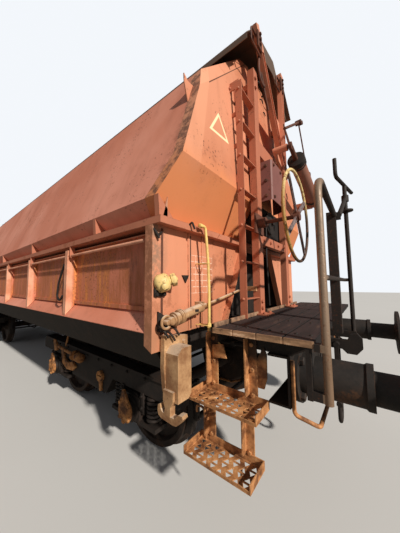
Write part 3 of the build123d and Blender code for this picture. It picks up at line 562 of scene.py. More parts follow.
def triangle_mark(look):
    """The outline of a blank triangle in worn cream paint, high on the front end."""
    corners = ((-0.946, 3.021), (-1.093, 2.795), (-0.803, 2.820))
    seam = ((-1.056, 3.208), (-0.37, 3.97))

    def layer(paint, tone, height):
        inside = None
        for (y0, z0), (y1, z1) in zip(corners, corners[1:] + corners[:1]):
            long = math.hypot(y1 - y0, z1 - z0)
            depth = (paint.y - y0) * (-(z1 - z0) / long) + (paint.z - z0) * ((y1 - y0) / long)
            inside = depth if inside is None else inside.smaller(depth)
        kept = paint.noise(20.0, 6, rough=0.7).between(0.30, 0.42)
        line = inside.near(0.011, 0.009, 0.003) * paint.front() * kept
        low = 1.0 - (paint.z + paint.noise(2.0, 5) * 0.4).between(2.55, 2.80)
        tone = paint.mix(tone, low_orange, low * 0.75)
        # Painted light: above the low band, the facet between the seam line and the side edge is made paler
        (ya, za), (yb, zb) = seam[0], (-1.225, 2.45)
        facet = (paint.y - ya - (paint.z - za) * ((yb - ya) / (zb - za))).between(-0.006, 0.006)
        lit = (1.0 - facet) * (1.0 - low) * paint.front()
        tone = paint.mix(tone, lit_facet, lit * 0.35)
        tone = paint.mix(tone, cream_line, line * 0.95)
        # Painted shadow: a dark line along the seam, under the edge of the lapped sheet, with a bump
        (y0, z0), (y1, z1) = seam
        rise = paint.z - ((paint.y - y0) * ((z1 - z0) / (y1 - y0)) + z0)
        lap_shadow_line = rise.near(0.0, 0.004, 0.004) * paint.y.between(y0 - 0.002, y0) * paint.front()
        crust = paint.noise(13.0, 9, rough=0.75).between(0.40, 0.60)
        edge = paint.sideways() * (0.35 + 0.65 * crust)
        tone = paint.mix(tone, darker(look.rust, 0.30), lap_shadow_line * 0.9)
        tone = paint.mix(tone, paint.mix(crust_brown, crust_black, crust), edge * 0.85)
        return tone, height - lap_shadow_line * 0.8 + edge * crust * 0.8
    return layer


def streaked_rust(name, colour, rust, bright):
    """Side flap sheets: rust in vertical streaks over what is left of the paint."""
    paint = Paint(name)
    streaks = paint.noise(12.0, 8, (1.0, 1.0, 0.16), rough=0.72)
    wide = paint.noise(1.9, 6, (1.0, 1.0, 0.5))
    specks = paint.noise(52.0, 4).between(0.54, 0.66)
    tone = paint.mix(colour, rust, streaks.between(0.38, 0.58) * 0.85)
    tone = paint.mix(tone, bright, (streaks.between(0.48, 0.62) * wide.between(0.38, 0.56)))
    scale = paint.noise(5.0, 7, (1.0, 1.0, 0.3), rough=0.7).between(0.56, 0.70)
    tone = paint.mix(tone, flap_black, scale * 0.7)
    tone = paint.mix(tone, darker(rust, 0.40), specks * wide.between(0.35, 0.65) * 0.6)
    ribs = (-paint.y).larger(paint.y).between(half_width - 0.075, half_width - 0.045)
    faded = paint.noise(6.0, 6).between(0.35, 0.60)
    tone = paint.mix(tone, paint.mix(rib_red, rib_pale, faded), ribs * 0.85)
    height = streaks * 0.6 - specks * 0.5
    return paint.finish(tone, streaks * 0.2 + 0.6, height, 0.002)


def bare_rust(name, colour, dark, bright, scale=1.0, share=1.0, lit=None, layer=None):
    """Unpainted iron: blotches from dark scale to bright rust, with pits and rubbed edges."""
    paint = Paint(name)
    blotches = paint.noise(9.0 * scale, 8, rough=0.68)
    fine = paint.noise(70.0 * scale, 5, rough=0.6)
    tone = paint.mix(dark, colour, blotches.between(0.36, 0.58))
    tone = paint.mix(tone, bright, (blotches.between(0.54, 0.70) * fine.between(0.35, 0.60)) * share)
    tone = paint.mix(tone, darker(dark, 0.6), fine.between(0.60, 0.72) * 0.7)
    tone = paint.mix(tone, bright, paint.edges(0.006) * fine.between(0.40, 0.60) * 0.7 * share)
    # Painted light: faces that look up are made paler in the lit colour
    if lit:
        tone = paint.mix(tone, lit, paint.upward() * blotches.between(0.30, 0.50) * 0.75)
    if layer:
        tone = layer(paint, tone)
    height = blotches * 0.7 + fine * 0.5
    return paint.finish(tone, fine * 0.2 + 0.62, height, 0.002)


def shaded_step_tops(paint, tone):
    """The steps' hangers are painted dark near their tops, as painted shade under the deck."""
    high = (paint.z + paint.noise(9.0, 5) * 0.1).between(1.20, 1.26)
    return paint.mix(tone, under_deck_shade, high * paint.y.near(-1.07, 0.012, 0.004) * 0.9)


def roof_dirt(name, colour, moss, lichen):
    """The roof: dark sheet, with moss and lichen where water stands."""
    paint = Paint(name)
    clumps = paint.noise(4.2, 9, rough=0.75)
    grains = paint.noise(30.0, 6, rough=0.68)
    flakes = paint.noise(8.0, 7, (1.0, 1.0, 0.6), rough=0.7)
    cover = clumps.between(0.46, 0.54) * grains.between(0.36, 0.50)
    tone = paint.mix(darker(colour, 0.22), colour, flakes.between(0.40, 0.54))
    tone = paint.mix(tone, roof_rust, flakes.between(0.54, 0.62) * 0.8)
    tone = paint.mix(tone, moss, cover)
    tone = paint.mix(tone, lichen, cover * grains.between(0.54, 0.68))
    return paint.finish(tone, 0.9, clumps * 0.6 + flakes * 0.4 + cover * grains * 2.2, 0.006)


def deck_boards(name, colour, edge):
    """Dark walked-on boards: dirt in the joints, grain along them and pale worn wood at the edge."""
    paint = Paint(name)
    saw = ((headstock_x + deck_reach - paint.x) * (1.0 / board_wide)).fraction()
    joint = saw.near(0.0, 0.02, 0.03).larger(saw.near(1.0, 0.02, 0.03))
    grain = paint.noise(34.0, 7, (1.0, 0.10, 1.0), rough=0.72)
    worn = paint.noise(7.0, 7, (1.0, 0.4, 1.0), rough=0.7)
    tone = paint.mix(darker(colour, 0.45), colour, grain.between(0.36, 0.62))
    tone = paint.mix(tone, edge, worn.between(0.58, 0.72) * grain.between(0.45, 0.60) * 0.35)
    side = (-paint.y).between(1.150, 1.165)
    splinters = paint.noise(22.0, 7, (0.25, 1.0, 1.6), rough=0.7)
    wood = paint.mix(darker(edge, 0.50), edge, splinters.between(0.38, 0.60))
    wood = paint.mix(wood, split_wood, splinters.between(0.56, 0.66) * 0.7)
    tone = paint.mix(tone, wood, side * paint.noise(12.0, 5).between(0.30, 0.45))
    tone = paint.mix(tone, darker(colour, 0.2), joint * (1.0 - side))
    return paint.finish(tone, grain * 0.2 + 0.72, grain * 0.6 - joint * 1.2, 0.004)


def rubbed_rail(name, bare, iron, rust):
    """The guard rail: its left leg bright, rubbed by hands and with a painted highlight; the rest dark, as
    painted shade.
    """
    paint = Paint(name)
    # The left leg: rubbed steel with a painted highlight, bright where the noise is high
    rubbed = paint.noise(4.0, 6, (1.0, 1.0, 0.5), rough=0.6).between(0.32, 0.55)
    pits = paint.noise(80.0, 4).between(0.55, 0.70)
    leg = (-paint.y).between(1.02, 1.12) * paint.x.between(headstock_x + 0.165, headstock_x + 0.170)
    tone = paint.mix(darker(bare, 0.45), bare, rubbed)
    tone = paint.mix(tone, rust, pits * 0.5)
    fade = 1.0 - (paint.z + rubbed * 0.2).between(1.35, 1.70)
    tone = paint.mix(tone, leg_foot, fade * 0.7)
    # Painted shade: the rest of the rail is dark iron with rust pits
    old = paint.mix(iron, darker(rust, 0.35), pits * 0.8)
    tone = paint.mix(old, tone, leg)
    return paint.finish(tone, 0.68 - rubbed * leg * 0.30, pits * -0.5 + rubbed * 0.2, 0.001, rubbed * leg * 0.4)


def chipped_paint(name, colour, under, scale=1.0, gone_at=0.52):
    """Pale paint that has chipped away to rust."""
    paint = Paint(name)
    chips = paint.noise(22.0 * scale, 8, rough=0.75)
    gone = chips.between(gone_at, gone_at + 0.06)
    grime = paint.noise(6.0 * scale, 6, rough=0.65).between(0.38, 0.66)
    tone = paint.mix(colour, darker(colour, 0.45), grime * 0.6)
    tone = paint.mix(tone, under, gone)
    return paint.finish(tone, gone * 0.25 + 0.5, grime * -0.4 - gone, 0.0015)


def wheel_paint(name, cream, ochre, iron, spoke):
    """The hand wheel: cream rim, lit cream on top and ochre to the left, dark elsewhere as painted shade; pale
    channels and a dark shaft.
    """
    paint = Paint(name)
    y, z = paint.y - wheel_y, paint.z - (wheel_z + flange_depth)
    wheel = paint.x.between(headstock_x - 0.11, headstock_x - 0.10)
    squared = y * y + z * z
    rim = squared.between(0.345 ** 2, 0.352 ** 2)
    hub = 1.0 - squared.between(0.050 ** 2, 0.056 ** 2)
    chips = paint.noise(30.0, 8, rough=0.75)
    gone = chips.between(0.52, 0.58)
    # Painted light and shade on the rim: cream where its top is lit, ochre on its left, dark below and to the
    # right
    top = (z + chips * 0.15).between(0.10, 0.33)
    left = (-y).between(0.05, 0.25)
    ring = paint.mix(rim_shade_dark, ochre, left)
    ring = paint.mix(ring, cream, top)
    ring = paint.mix(ring, darker(iron, 1.2), gone * 0.8)
    spokes = paint.mix(darker(spoke, 0.35), spoke, chips.between(0.38, 0.58))
    tone = paint.mix(spokes, ring, rim)
    tone = paint.mix(tone, iron, hub.larger(1.0 - wheel))
    return paint.finish(tone, 0.62, gone * -0.8 + chips * 0.3, 0.001)


# Settings

class WagonFinish(bpy.types.PropertyGroup):
    """Colours of the wagon's finishes."""

    def tint(name, what, default):
        return FloatVectorProperty(
            name=name, description=what, default=default, subtype="COLOR", min=0, max=1
        )

    oxide: tint("Oxide", "Red-brown paint of the hopper sides", (0.62, 0.205, 0.118))
    faded: tint("Faded oxide", "Where the sun has bleached the side paint", (0.80, 0.35, 0.25))
    end_oxide: tint("End oxide", "Paint of the hopper ends", (0.56, 0.20, 0.10))
    end_faded: tint("Faded end", "Bleached paint of the hopper ends", (0.74, 0.31, 0.18))
    # Shaded oxide is a darker copy of the end paint: painted shade on the columns and the rim
    shade_oxide: tint("Shaded oxide", "Paint of the columns and arms", (0.46, 0.155, 0.085))
    rust: tint("Rust", "Rust that breaks through", (0.24, 0.075, 0.028))
    bright_rust: tint("Bright rust", "Fresh rust", (0.72, 0.25, 0.07))
    tan: tint("Tan rust", "Dry rust on the steps", (0.52, 0.23, 0.085))
    # Near black: dark iron with painted shade, for the underframe and bogies deep under the wagon
    iron: tint("Old iron", "Underframe and bogies", (0.018, 0.011, 0.008))
    roof: tint("Roof", "Roof sheet", (0.36, 0.165, 0.100))
    moss: tint("Moss", "Moss on the roof", (0.28, 0.215, 0.045))
    boards: tint("Boards", "Platform boards", (0.036, 0.020, 0.019))
    cream: tint("Cream", "Pale paint on the valve and the wheel rim", (0.80, 0.60, 0.27))
    # Bare is the rail leg's colour: rubbed steel, with painted highlight
    bare: tint("Bare steel", "Steel rubbed by hands", (0.34, 0.24, 0.17))


class WagonFittings(bpy.types.PropertyGroup):
    """Sizes of the small fittings."""

    def length(name, what, default):
        return FloatProperty(name=name, description=what, default=default, min=0.001, unit="LENGTH")

    large_bolt: length("Large bolts", "Across the flats, on buffers and axle boxes", 0.042)
    small_bolt: length("Small bolts", "Across the flats, on brackets", 0.026)
    rivet_width: length("Rivets", "Width of a rivet head on the side frames", 0.030)
    spring_wire: length("Spring wire", "Thickness of a spring's wire", 0.027)
    spring_turns: IntProperty(name="Turns", description="Turns of each bogie spring", default=6, min=2, max=12)
    hook_bar: length("Hooks", "Thickness of the hooks' bar", 0.018)


class WagonStage(bpy.types.PropertyGroup):
    """Camera, lights and floor."""

    lens: FloatProperty(name="Lens", description="Focal length in mm", default=14.45, min=5)
    sun_power: FloatProperty(name="Sun", description="Strength of the main lamp", default=4.25, min=0)
    fill_power: FloatProperty(name="Fill", description="Strength of the room's light", default=0.21, min=0)
    floor_size: FloatProperty(name="Floor", description="Side of the floor", default=90, min=1, unit="LENGTH")


class WagonOperator:
    """What all the wagon's operators share."""

    bl_options = {"REGISTER", "UNDO"}

    @property
    def finish(self):
        return bpy.context.scene.wagon_finish

    @property
    def sizes(self):
        return bpy.context.scene.wagon_fittings


class WAGON_OT_paint(bpy.types.Operator, WagonOperator):
    """Gives every node of the wagon its weathered finish, painted light and shade included"""

    bl_idname = "wagon.paint"
    bl_label = "Paint the wagon"

    def execute(self, context):
        look = self.finish
        # material, colour, pale, wear, seed, layer on top
        for name, colour, pale, wear, seed, extra in (
            ("oxide_side", look.oxide, look.faded, 0.5, 0.0, hip_grime(look)),
            ("oxide_end", look.end_oxide, look.end_faded, 1.0, 4.0, triangle_mark(look)),
            ("oxide_box", look.end_oxide, look.end_faded, 0.9, 2.0, end_marks),
            ("oxide_rim", look.shade_oxide, (0.56, 0.21, 0.12), 1.6, 9.0, None),
            ("oxide_column", look.shade_oxide, (0.50, 0.17, 0.095), 0.7, 6.0, None),
            ("oxide_cover", (0.17, 0.060, 0.052), (0.30, 0.125, 0.105), 0.8, 7.0, None),
            ("oxide_arm", (0.60, 0.21, 0.12), (0.72, 0.32, 0.20), 1.2, 3.0, None),
            ("oxide_cylinder", (0.24, 0.095, 0.062), (0.36, 0.16, 0.11), 1.4, 8.0, None),
        ):
            oxide_paint(name, colour, pale, look.rust, wear, seed, extra)
        # material, colour, dark, bright, and what isn't usual
        for name, colour, dark, bright, more in (
            ("recess_shade_black", (0.010, 0.007, 0.006), (0.004, 0.004, 0.004), (0.022, 0.012, 0.007), {"share": 0.6}),
            ("edging_wood", (0.30, 0.17, 0.10), (0.12, 0.065, 0.040), (0.52, 0.34, 0.21), {"scale": 1.5}),
            ("old_iron", look.iron, darker(look.iron, 0.55), (0.055, 0.024, 0.011), {"share": 0.8}),
            ("wheel_iron", (0.040, 0.022, 0.014), look.iron, (0.11, 0.046, 0.018), {"scale": 0.8}),
            ("buffer_iron", (0.028, 0.020, 0.016), (0.012, 0.010, 0.009), (0.11, 0.048, 0.022), {"scale": 0.6}),
            ("red_iron", red_dark, darker(red_dark, 0.5), (0.24, 0.09, 0.045), {}),
            ("tan_iron", look.tan, (0.16, 0.058, 0.020), (0.80, 0.46, 0.21),
             {"scale": 1.4, "layer": shaded_step_tops}),
            ("casting_iron", (0.46, 0.26, 0.125), (0.25, 0.115, 0.048), (0.66, 0.42, 0.22),
             {"scale": 0.9, "lit": (0.62, 0.50, 0.38)}),
            ("sunlit_orange_iron", (0.48, 0.20, 0.06), (0.10, 0.038, 0.014), (0.82, 0.46, 0.19), {"scale": 1.6}),
        ):
            bare_rust(name, colour, dark, bright, **more)
        streaked_rust("rusty_flap", look.oxide, (0.40, 0.125, 0.040), look.bright_rust)
        roof_dirt("roof_sheet", look.roof, look.moss, lichen=(0.62, 0.50, 0.13))
        deck_boards("deck_boards", look.boards, edge=(0.46, 0.26, 0.14))
        rubbed_rail("rubbed_rail", look.bare, look.iron, look.rust)
        ochre, spoke = (0.46, 0.27, 0.075), (0.28, 0.22, 0.22)
        wheel_paint("wheel_paint", look.cream, ochre, red_dark, spoke)
        chipped_paint("valve_cream", (0.84, 0.60, 0.24), under=(0.20, 0.10, 0.045), scale=1.6, gone_at=0.55)
        chipped_paint("pipe_yellow", (0.95, 0.66, 0.22), under=(0.42, 0.20, 0.07), scale=1.4, gone_at=0.60)
        for name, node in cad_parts.items():
            fits = [
                (len(start), material)
                for material, starts in node_finishes.items() for start in starts if name.startswith(start)
            ]
            if not fits:
                raise RuntimeError("no finish for " + name)
            node.data.materials.clear()
            node.data.materials.append(bpy.data.materials[max(fits)[1]])
        return {"FINISHED"}


class WAGON_OT_springs(bpy.types.Operator, WagonOperator):
    """Coils of the bogie springs, in place of the plain stacks"""

    bl_idname = "wagon.springs"
    bl_label = "Coil the springs"

    def execute(self, context):
        low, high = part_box("springs_front")
        wire = self.sizes.spring_wire
        stack_radius, from_axle, from_middle = 0.075, 0.25, 1.0
        spots = []
        for axle in (-half_base, half_base):
            for offset in (-from_axle, from_axle):
                for y in (-from_middle, from_middle):
                    spots.append(Matrix.Translation((axle + offset, y, low.z + wire / 2)))
        for end, name in both_ends:
            coil = self.coil(stack_radius - wire / 2, wire, high.z - low.z - wire)
            places = [Matrix.Translation((end * pivot_x, 0, 0)) @ spot for spot in spots]
            coils = dressed(copied(coil, "spring_coils_" + name, places), body="bogie_" + name)
            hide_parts("springs_" + name)
        return {"FINISHED"}

    def coil(self, radius, wire, tall):
        deselect()
        bpy.ops.mesh.primitive_circle_add(
            vertices=8, radius=wire / 2, location=(radius, 0, 0), rotation=(math.pi / 2, 0, 0)
        )
        coil = named("coil")
        turns = self.sizes.spring_turns
        screw = coil.modifiers.new("turns", "SCREW")
        screw.iterations = turns
        screw.screw_offset = tall / turns
        screw.steps = screw.render_steps = 16
        bpy.ops.object.modifier_apply(modifier=screw.name)
        edit(coil)
        bpy.ops.mesh.select_all(action="SELECT")
        bpy.ops.mesh.remove_doubles(threshold=0.0001)
        bpy.ops.mesh.fill_holes(sides=0)
        close(coil)
        bpy.ops.object.shade_smooth_by_angle(angle=math.radians(60))
        return coil


class WAGON_OT_axle_lids(bpy.types.Operator, WagonOperator):
    """Bolted lids, lugs and liners of the axle boxes"""

    bl_idname = "wagon.axle_lids"
    bl_label = "Fit the axle box lids"

    def execute(self, context):
        lid_y, level = 1.128, 0.46 + flange_depth
        for end, name in both_ends:
            spots = []
            for axle in (-half_base, half_base):
                for side in (-1, 1):
                    spots.append(facing((end * pivot_x + axle, side * lid_y, level), (0, side, 0)))
            lids = copied(self.lid(), "axle_lids_" + name, spots)
            dressed(lids, bogie_iron[name], "bogie_" + name)
        return {"FINISHED"}

    def lid(self):
        cap = disc("cap", (0, 0, 0), (0, 0, 0.018), 0.196, 32)
        step_face(cap, upward, (0.022, 0.016), (0.020, 0.006), (0.016, -0.004), (0.014, 0.006))
        softened(cap, 0.003)
        ear = [(-0.072, 0.074, 0), (0.050, 0.086, 0), (0.030, 0.120, 0), (-0.020, 0.180, 0), (-0.040, 0.176, 0)]
        lug = cut_plate("lug", ear, (0, 0, 0.022))
        strip = rounded_block("strip", (-0.018, -0.10, 0.0), (0.018, -0.075, 0.036))
        ring = in_ring(Matrix.Translation((0, 0, 0.016)), 0.086, 4, 0.78)
        bolts = copied(bolt(0.030, 0.018), "lid_bolts", ring)
        return joined("axle_lid", [cap, lug, strip, bolts])


class WAGON_OT_bogie_fittings(bpy.types.Operator, WagonOperator):
    """Levers, brackets, push rods and riveted liners on the bogies"""

    bl_idname = "wagon.bogie_fittings"
    bl_label = "Fit out the bogies"

    def execute(self, context):
        for end, name in both_ends:
            turn = Matrix.Rotation(0 if end > 0 else math.pi, 4, "Z")
            pieces = [*self.levers(-1), *self.levers(1), *self.push_rods()]
            gear = copied(joined("bogie_gear", pieces), "bogie_levers_" + name, (turn,))
            dressed(gear, bogie_iron[name], body="bogie_" + name)
            plates = copied(joined("frame_plates", self.plates()), "bogie_plates_" + name, (turn,))
            dressed(plates, body="bogie_" + name)
        return {"FINISHED"}

    def levers(self, side):
        """Brake lever, brackets and shoe on one side frame of the front bogie."""
        face = side * frame_face
        outer = face + side * 0.05
        eye_back, eye_z = 2.03, 0.60
        hanger = along(face, (3.10, 0.70), (3.02, 0.70), (2.99, 0.60), (2.86, 0.57), (2.74, 0.61), (2.64, 0.56))
        hanger += along(face, (2.72, 0.50), (2.90, 0.48), (3.06, 0.53))
        upright = along(face, (3.02, 0.76), (2.985, 0.76), (2.93, 0.90), (2.96, 0.91))
        link = along(face, (2.06, 0.58), (2.00, 0.58), (2.00, 0.45), (2.04, 0.44))
        shoe = along(face, (3.42, 0.80), (3.34, 0.80), (3.26, 0.66), (3.36, 0.64))
        knuckle = disc("knuckle", *along(outer, (2.44, 0.712), (2.53, 0.716)), 0.105, 20)
        step_face(knuckle, forward, (0.018, 0.014), (0.014, 0.010))
        eye_ends = at(eye_back, face - side * 0.01, eye_z), at(eye_back, face + side * 0.035, eye_z)
        eye = disc("eye", *eye_ends, 0.115, 20, 0.006)
        middle_z = eye_z + flange_depth
        step_face(eye, (0, side, 0), (0.022, -0.012), within=lambda middle: abs(middle.z - middle_z) < 0.01)
        return [
            bent_bar("lever_rod", along(outer, (2.50, 0.715), (3.02, 0.735), (3.16, 0.745)), 0.040, 0.03),
            knuckle,
            disc("flange", *along(outer, (2.60, 0.718), (2.622, 0.719)), 0.120, 24, 0.003),
            cut_plate("upright", upright, (0, 0.016 * side, 0)),
            cut_plate("bracket", hanger, (0, 0.030 * side, 0), 0.006),
            eye,
            cut_plate("link", link, (0, 0.02 * side, 0)),
            cut_plate("shoe", shoe, (0, 0.03 * side, 0), 0.006),
        ]

    def push_rods(self):
        """Rods from brake beam to brake beam, under the axles."""
        beam_z, low_z, slope = 0.42, 0.335, 0.20
        rods = []
        for near, far in ((0.907, 1.993), (2.707, 3.793)):
            for y in (-0.2, 0.2):
                line = along(y, (near, beam_z), (near + slope, low_z), (far - slope, low_z), (far, beam_z))
                rods.append(bent_bar("push_rod", line, 0.026, 0.03))
        return rods

    def plates(self):
        """Liners on the side frames beside the spring pockets, and rows of rivets."""
        half_wide, thick = 0.022, 0.010
        lip, rivet_pitch, rivet_z = 1.0745, 0.275, 0.795
        pieces, spots = [], []
        for side in (-1, 1):
            face, outer, outward = side * frame_face, side * frame_face + side * thick, (0, side, 0)
            for back in (1.45, 3.25):
                for step in (-0.15, 0.15):
                    x = headstock_x - back + step
                    low, high = (x - half_wide, min(face, outer), 0.50), (x + half_wide, max(face, outer), 0.66)
                    pieces.append(rounded_block("liner", low, high, 0.002))
                    spots += on_face([(x, outer, 0.53), (x, outer, 0.63)], outward)
            row = [(headstock_x - 1.25 - step * rivet_pitch, side * lip, rivet_z) for step in range(9)]
            spots += on_face(row, outward)
        pieces.append(copied(rivet(self.sizes.rivet_width, 0.012), "frame_rivets", spots))
        return pieces


class WAGON_OT_bolts(bpy.types.Operator, WagonOperator):
    """Bolts and rivets of the buffers, headstocks, columns, ladder, cover and castings"""

    bl_idname = "wagon.bolts"
    bl_label = "Fit the bolts"

    def execute(self, context):
        large, small = self.sizes.large_bolt, self.sizes.small_bolt
        flanges = []
        for end in (1, -1):
            for y in (-buffer_y, buffer_y):
                place = facing((end * (headstock_x + 0.022), y, buffer_z + flange_depth), (end, 0, 0))
                flanges += in_ring(place, 0.138, 4, math.pi / 4)
        dressed(copied(bolt(large, 0.026), "buffer_bolts", flanges), "buffer_iron")
        rows = [at(0.001, y, z) for y in (-0.62, -0.42, -0.20, 0.20, 0.42, 0.62) for z in (0.97, 1.15)]
        dressed(copied(rivet(0.032, 0.014), "headstock_rivets", mirrored(rows, forward, sides=(1,))))
        posts = [at(0.412, y, z) for y in (-0.42, 0.45) for z in (1.38, 1.44, 3.55, 3.65)]
        posts += [at(0.420, y, 2.025) for y in (-0.30, -0.12, 0.12, 0.30)]
        posts = mirrored(posts, forward, sides=(1,))
        dressed(copied(bolt(small, 0.016), "column_bolts", posts), "oxide_column")
        rungs = [at(0.446, ladder_y, 1.476 + i * rung_pitch) for i in range(7)]
        rungs += along(ladder_y, (0.53, 2.51), (0.53, 3.38))
        rungs = on_face(rungs, leftward)
        dressed(copied(rivet(0.024, 0.009), "ladder_rivets", rungs), "oxide_column")
        cover = on_face(along(-0.350, (0.36, 2.45), (0.36, 2.60), (0.36, 2.75)), leftward)
        cover += on_face([at(0.30, y, z) for y in (-0.30, -0.10) for z in (2.44, 2.76)], forward)
        dressed(copied(bolt(small, 0.012), "cover_bolts", cover), "red_iron")
        heads = mirrored(along(-1.28, (0.60, 1.235), (0.60, 1.16)), forward)
        dressed(copied(bolt(small, 0.014), "casting_bolts", heads), "casting_iron")
        nails = [
            at(board * board_wide + step - deck_reach, y, deck_top)
            for board in range(4) for y in (-1.04, -0.64, 0.64, 1.04) for step in (0.035, 0.11)
        ]
        dressed(copied(rivet(0.018, 0.004), "deck_nails", on_face(nails, upward)))
        return {"FINISHED"}


class WAGON_OT_roof_fittings(bpy.types.Operator, WagonOperator):
    """Head plates, clips and locking hooks of the roof arms"""

    bl_idname = "wagon.roof_fittings"
    bl_label = "Fit the roof arms"

    def execute(self, context):
        arm_back, plate_back = 0.357, 0.339
        pieces, heads = [], []
        # middle of the head plate, and how far the clip's foot reaches past it
        for y, z, foot in ((-0.42, 4.03, 0.06), (0.295, 4.11, -0.03)):
            low, high = at(arm_back, y - 0.055, z - 0.11), at(plate_back, y + 0.045, z + 0.06)
            pieces.append(rounded_block("head_plate", low, high, 0.003))
            row = ((y - 0.02, z + step) for step in (-0.075, -0.025, 0.03))
            heads += on_face(across(plate_back, *row), forward)
            clip = (y - 0.03, z + 0.03), (y - 0.15, z + 0.015), (y - 0.16, z - 0.13), (y + foot, z - 0.12)
            pieces.append(bent_bar("clip", across(0.37, *clip), 0.018, 0.02))
        pieces.append(copied(bolt(self.sizes.small_bolt, 0.016), "head_bolts", heads))
        hook = across(0.385, (-0.36, 3.93), (-0.375, 3.78), (-0.33, 3.68), (-0.255, 3.665), (-0.215, 3.73))
        pieces.append(bent_bar("roof_hook", hook, 0.026, 0.03, 4))
        link = across(0.39, (-0.30, 3.80), (-0.20, 3.62), (-0.12, 3.50))
        pieces.append(bent_bar("hook_link", link, 0.020, 0.02))
        dressed(at_both_ends(joined("roof_gear", pieces), "roof_fittings"), "red_iron", body="roof")
        return {"FINISHED"}


class WAGON_OT_roof_linkage(bpy.types.Operator, WagonOperator):
    """Collars of the roof cylinder, with its crank and thin rod"""

    bl_idname = "wagon.roof_linkage"
    bl_label = "Fit the cylinder's linkage"

    def execute(self, context):
        eye, pin = at(0.215, 0.03, 3.095), at(0.215, 1.25, 2.80)
        way = (pin - eye).normalized()
        # distance from the eye, length, diameter
        collars = [
            disc("ring", eye + way * start, eye + way * (start + long), wide, 32, 0.006)
            for start, long, wide in ((0.214, 0.075, 0.194), (0.310, 0.016, 0.190), (1.08, 0.035, 0.194))
        ]
        dressed(joined("cylinder_collars", collars), body="cylinder")
        crank = [at(0.256, -0.02, 3.285), at(0.20, 0.388, 3.579), at(0.20, 0.52, 3.655)]
        stay = across(0.262, (-0.05, 3.32), (0.00, 3.25), (0.30, 3.07), (0.30, 3.17))
        pieces = [
            bent_bar("crank", crank, 0.030, 0.02, 4),
            bent_bar("thin_rod", across(0.20, (0.402, 3.585), (0.800, 3.085)), 0.016),
            rounded_block("fork", at(0.235, 0.775, 3.045), at(0.165, 0.835, 3.105), 0.005),
            disc("boss", at(0.235, 0.395, 3.583), at(0.165, 0.395, 3.583), 0.06, 20, 0.005),
            disc("tip", at(0.225, 0.52, 3.655), at(0.175, 0.52, 3.655), 0.05, 18, 0.005),
            cut_plate("stay", stay, (0.012, 0, 0)),
        ]
        dressed(joined("roof_linkage", pieces), "red_iron", body="cylinder")
        return {"FINISHED"}


class WAGON_OT_side_fittings(bpy.types.Operator, WagonOperator):
    """Fins, handle, hooks, seams and latches on the hopper body and its front flaps"""

    bl_idname = "wagon.side_fittings"
    bl_label = "Fit the body's small parts"

    def execute(self, context):
        fin = across(0.60, (-1.222, 2.925), (-1.145, 3.112), (-1.222, 3.102), (-1.266, 3.135), (-1.262, 3.070))
        gusset = across(0.610, (-1.465, 2.012), (-1.421, 2.012), (-1.421, 2.155))
        thick = Vector((0.010, 0, 0))
        plates = [cut_plate("fin", fin, -thick, 0.002), cut_plate("gusset", gusset, thick, 0.002)]
        dressed(at_both_ends(joined("fin_pair", plates), "fins_left"), "oxide_box")
        dressed(joined("body_hooks", self.hooks(self.sizes.hook_bar)))
        for side, flap in ((1, "flap_left_front"), (-1, "flap_right_front")):
            self.latch(side, flap)
        seams = [
            rounded_block("seam", at(0.650, low, foot), at(0.643, high, 1.955), 0.002)
            for low, high, foot in ((-1.160, -1.146, 1.29), (-1.432, -1.418, 1.23))
        ]
        dressed(at_both_ends(joined("box_seams", seams), "box_end_seams"), "red_iron")
        return {"FINISHED"}

    def hooks(self, bar):
        """Grab handle, corner lug and the hooks on rim, post and wall."""
        lug = across(0.65, (-1.244, 1.664), (-1.176, 1.665), (-1.210, 1.610))
        grab = across(0.53, (-0.043, 3.993), (0.026, 4.028), (0.119, 4.020), (0.160, 3.970))
        grab = [at(0.575, -0.043, 3.993), *grab, at(0.575, 0.160, 3.970)]
        pieces = [cut_plate("corner_lug", lug, (0.012, 0, 0), 0.001), bent_bar("grab", grab, 0.020, 0.02)]
        # name, share of the bar's thickness, bend, and points as (back, y, z)
        for name, share, bend, *line in (
            ("rim_hook", 0.8, 0.008, (0.585, -1.236, 2.008), (0.556, -1.236, 2.022), (0.550, -1.216, 1.976)),
            ("post_claw", 1.0, 0.01, (0.69, -1.488, 1.962), (0.655, -1.488, 1.945), (0.635, -1.480, 1.915),
             (0.632, -1.462, 1.885)),
            ("post_claw", 0.8, 0.0, (0.645, -1.430, 1.930), (0.632, -1.470, 1.905)),
            ("wall_hook", 0.7, 0.01, (0.57, 0.08, 3.88), (0.54, 0.09, 3.87), (0.54, 0.13, 3.84)),
            ("wall_hook", 0.7, 0.01, (0.57, 0.16, 3.76), (0.54, 0.17, 3.75), (0.54, 0.20, 3.72)),
        ):
            pieces.append(bent_bar(name, [at(*point) for point in line], bar * share, bend))
        for y, z in ((-1.462, 1.326), (-1.408, 1.300), (-1.372, 1.325)):
            line = along(y, (0.652, z + 0.03), (0.590, z + 0.01), (0.575, z))
            line.append(at(0.575, y + 0.025, z - 0.035))
            pieces.append(bent_bar("post_hook", line, bar * 0.8, 0.01))
        return pieces

    def latch(self, side, flap):
        """Hook, pin, plate and stay on the first rib of a front flap."""
        hook = along(side * -1.484, (2.02, 1.80), (2.06, 1.756), (2.143, 1.627), (2.178, 1.49), (2.10, 1.445),
                     (2.03, 1.50))
        plate = along(side * -1.40, (2.05, 1.84), (1.99, 1.84), (1.99, 1.74), (2.05, 1.74))
        stay = along(side * -1.478, (1.945, 1.75), (2.035, 1.60), (1.97, 1.50))
        pieces = [
            bent_bar("latch_hook", hook, 0.020, 0.03),
            disc("latch_pin", at(2.02, side * -1.490, 1.80), at(2.02, side * -1.40, 1.80), 0.034, 16, 0.003),
            cut_plate("latch_plate", plate, (0, 0.01 * side, 0)),
            bent_bar("latch_stay", stay, 0.014, 0.02),
        ]
        dressed(joined("latch_" + flap, pieces), body=flap)


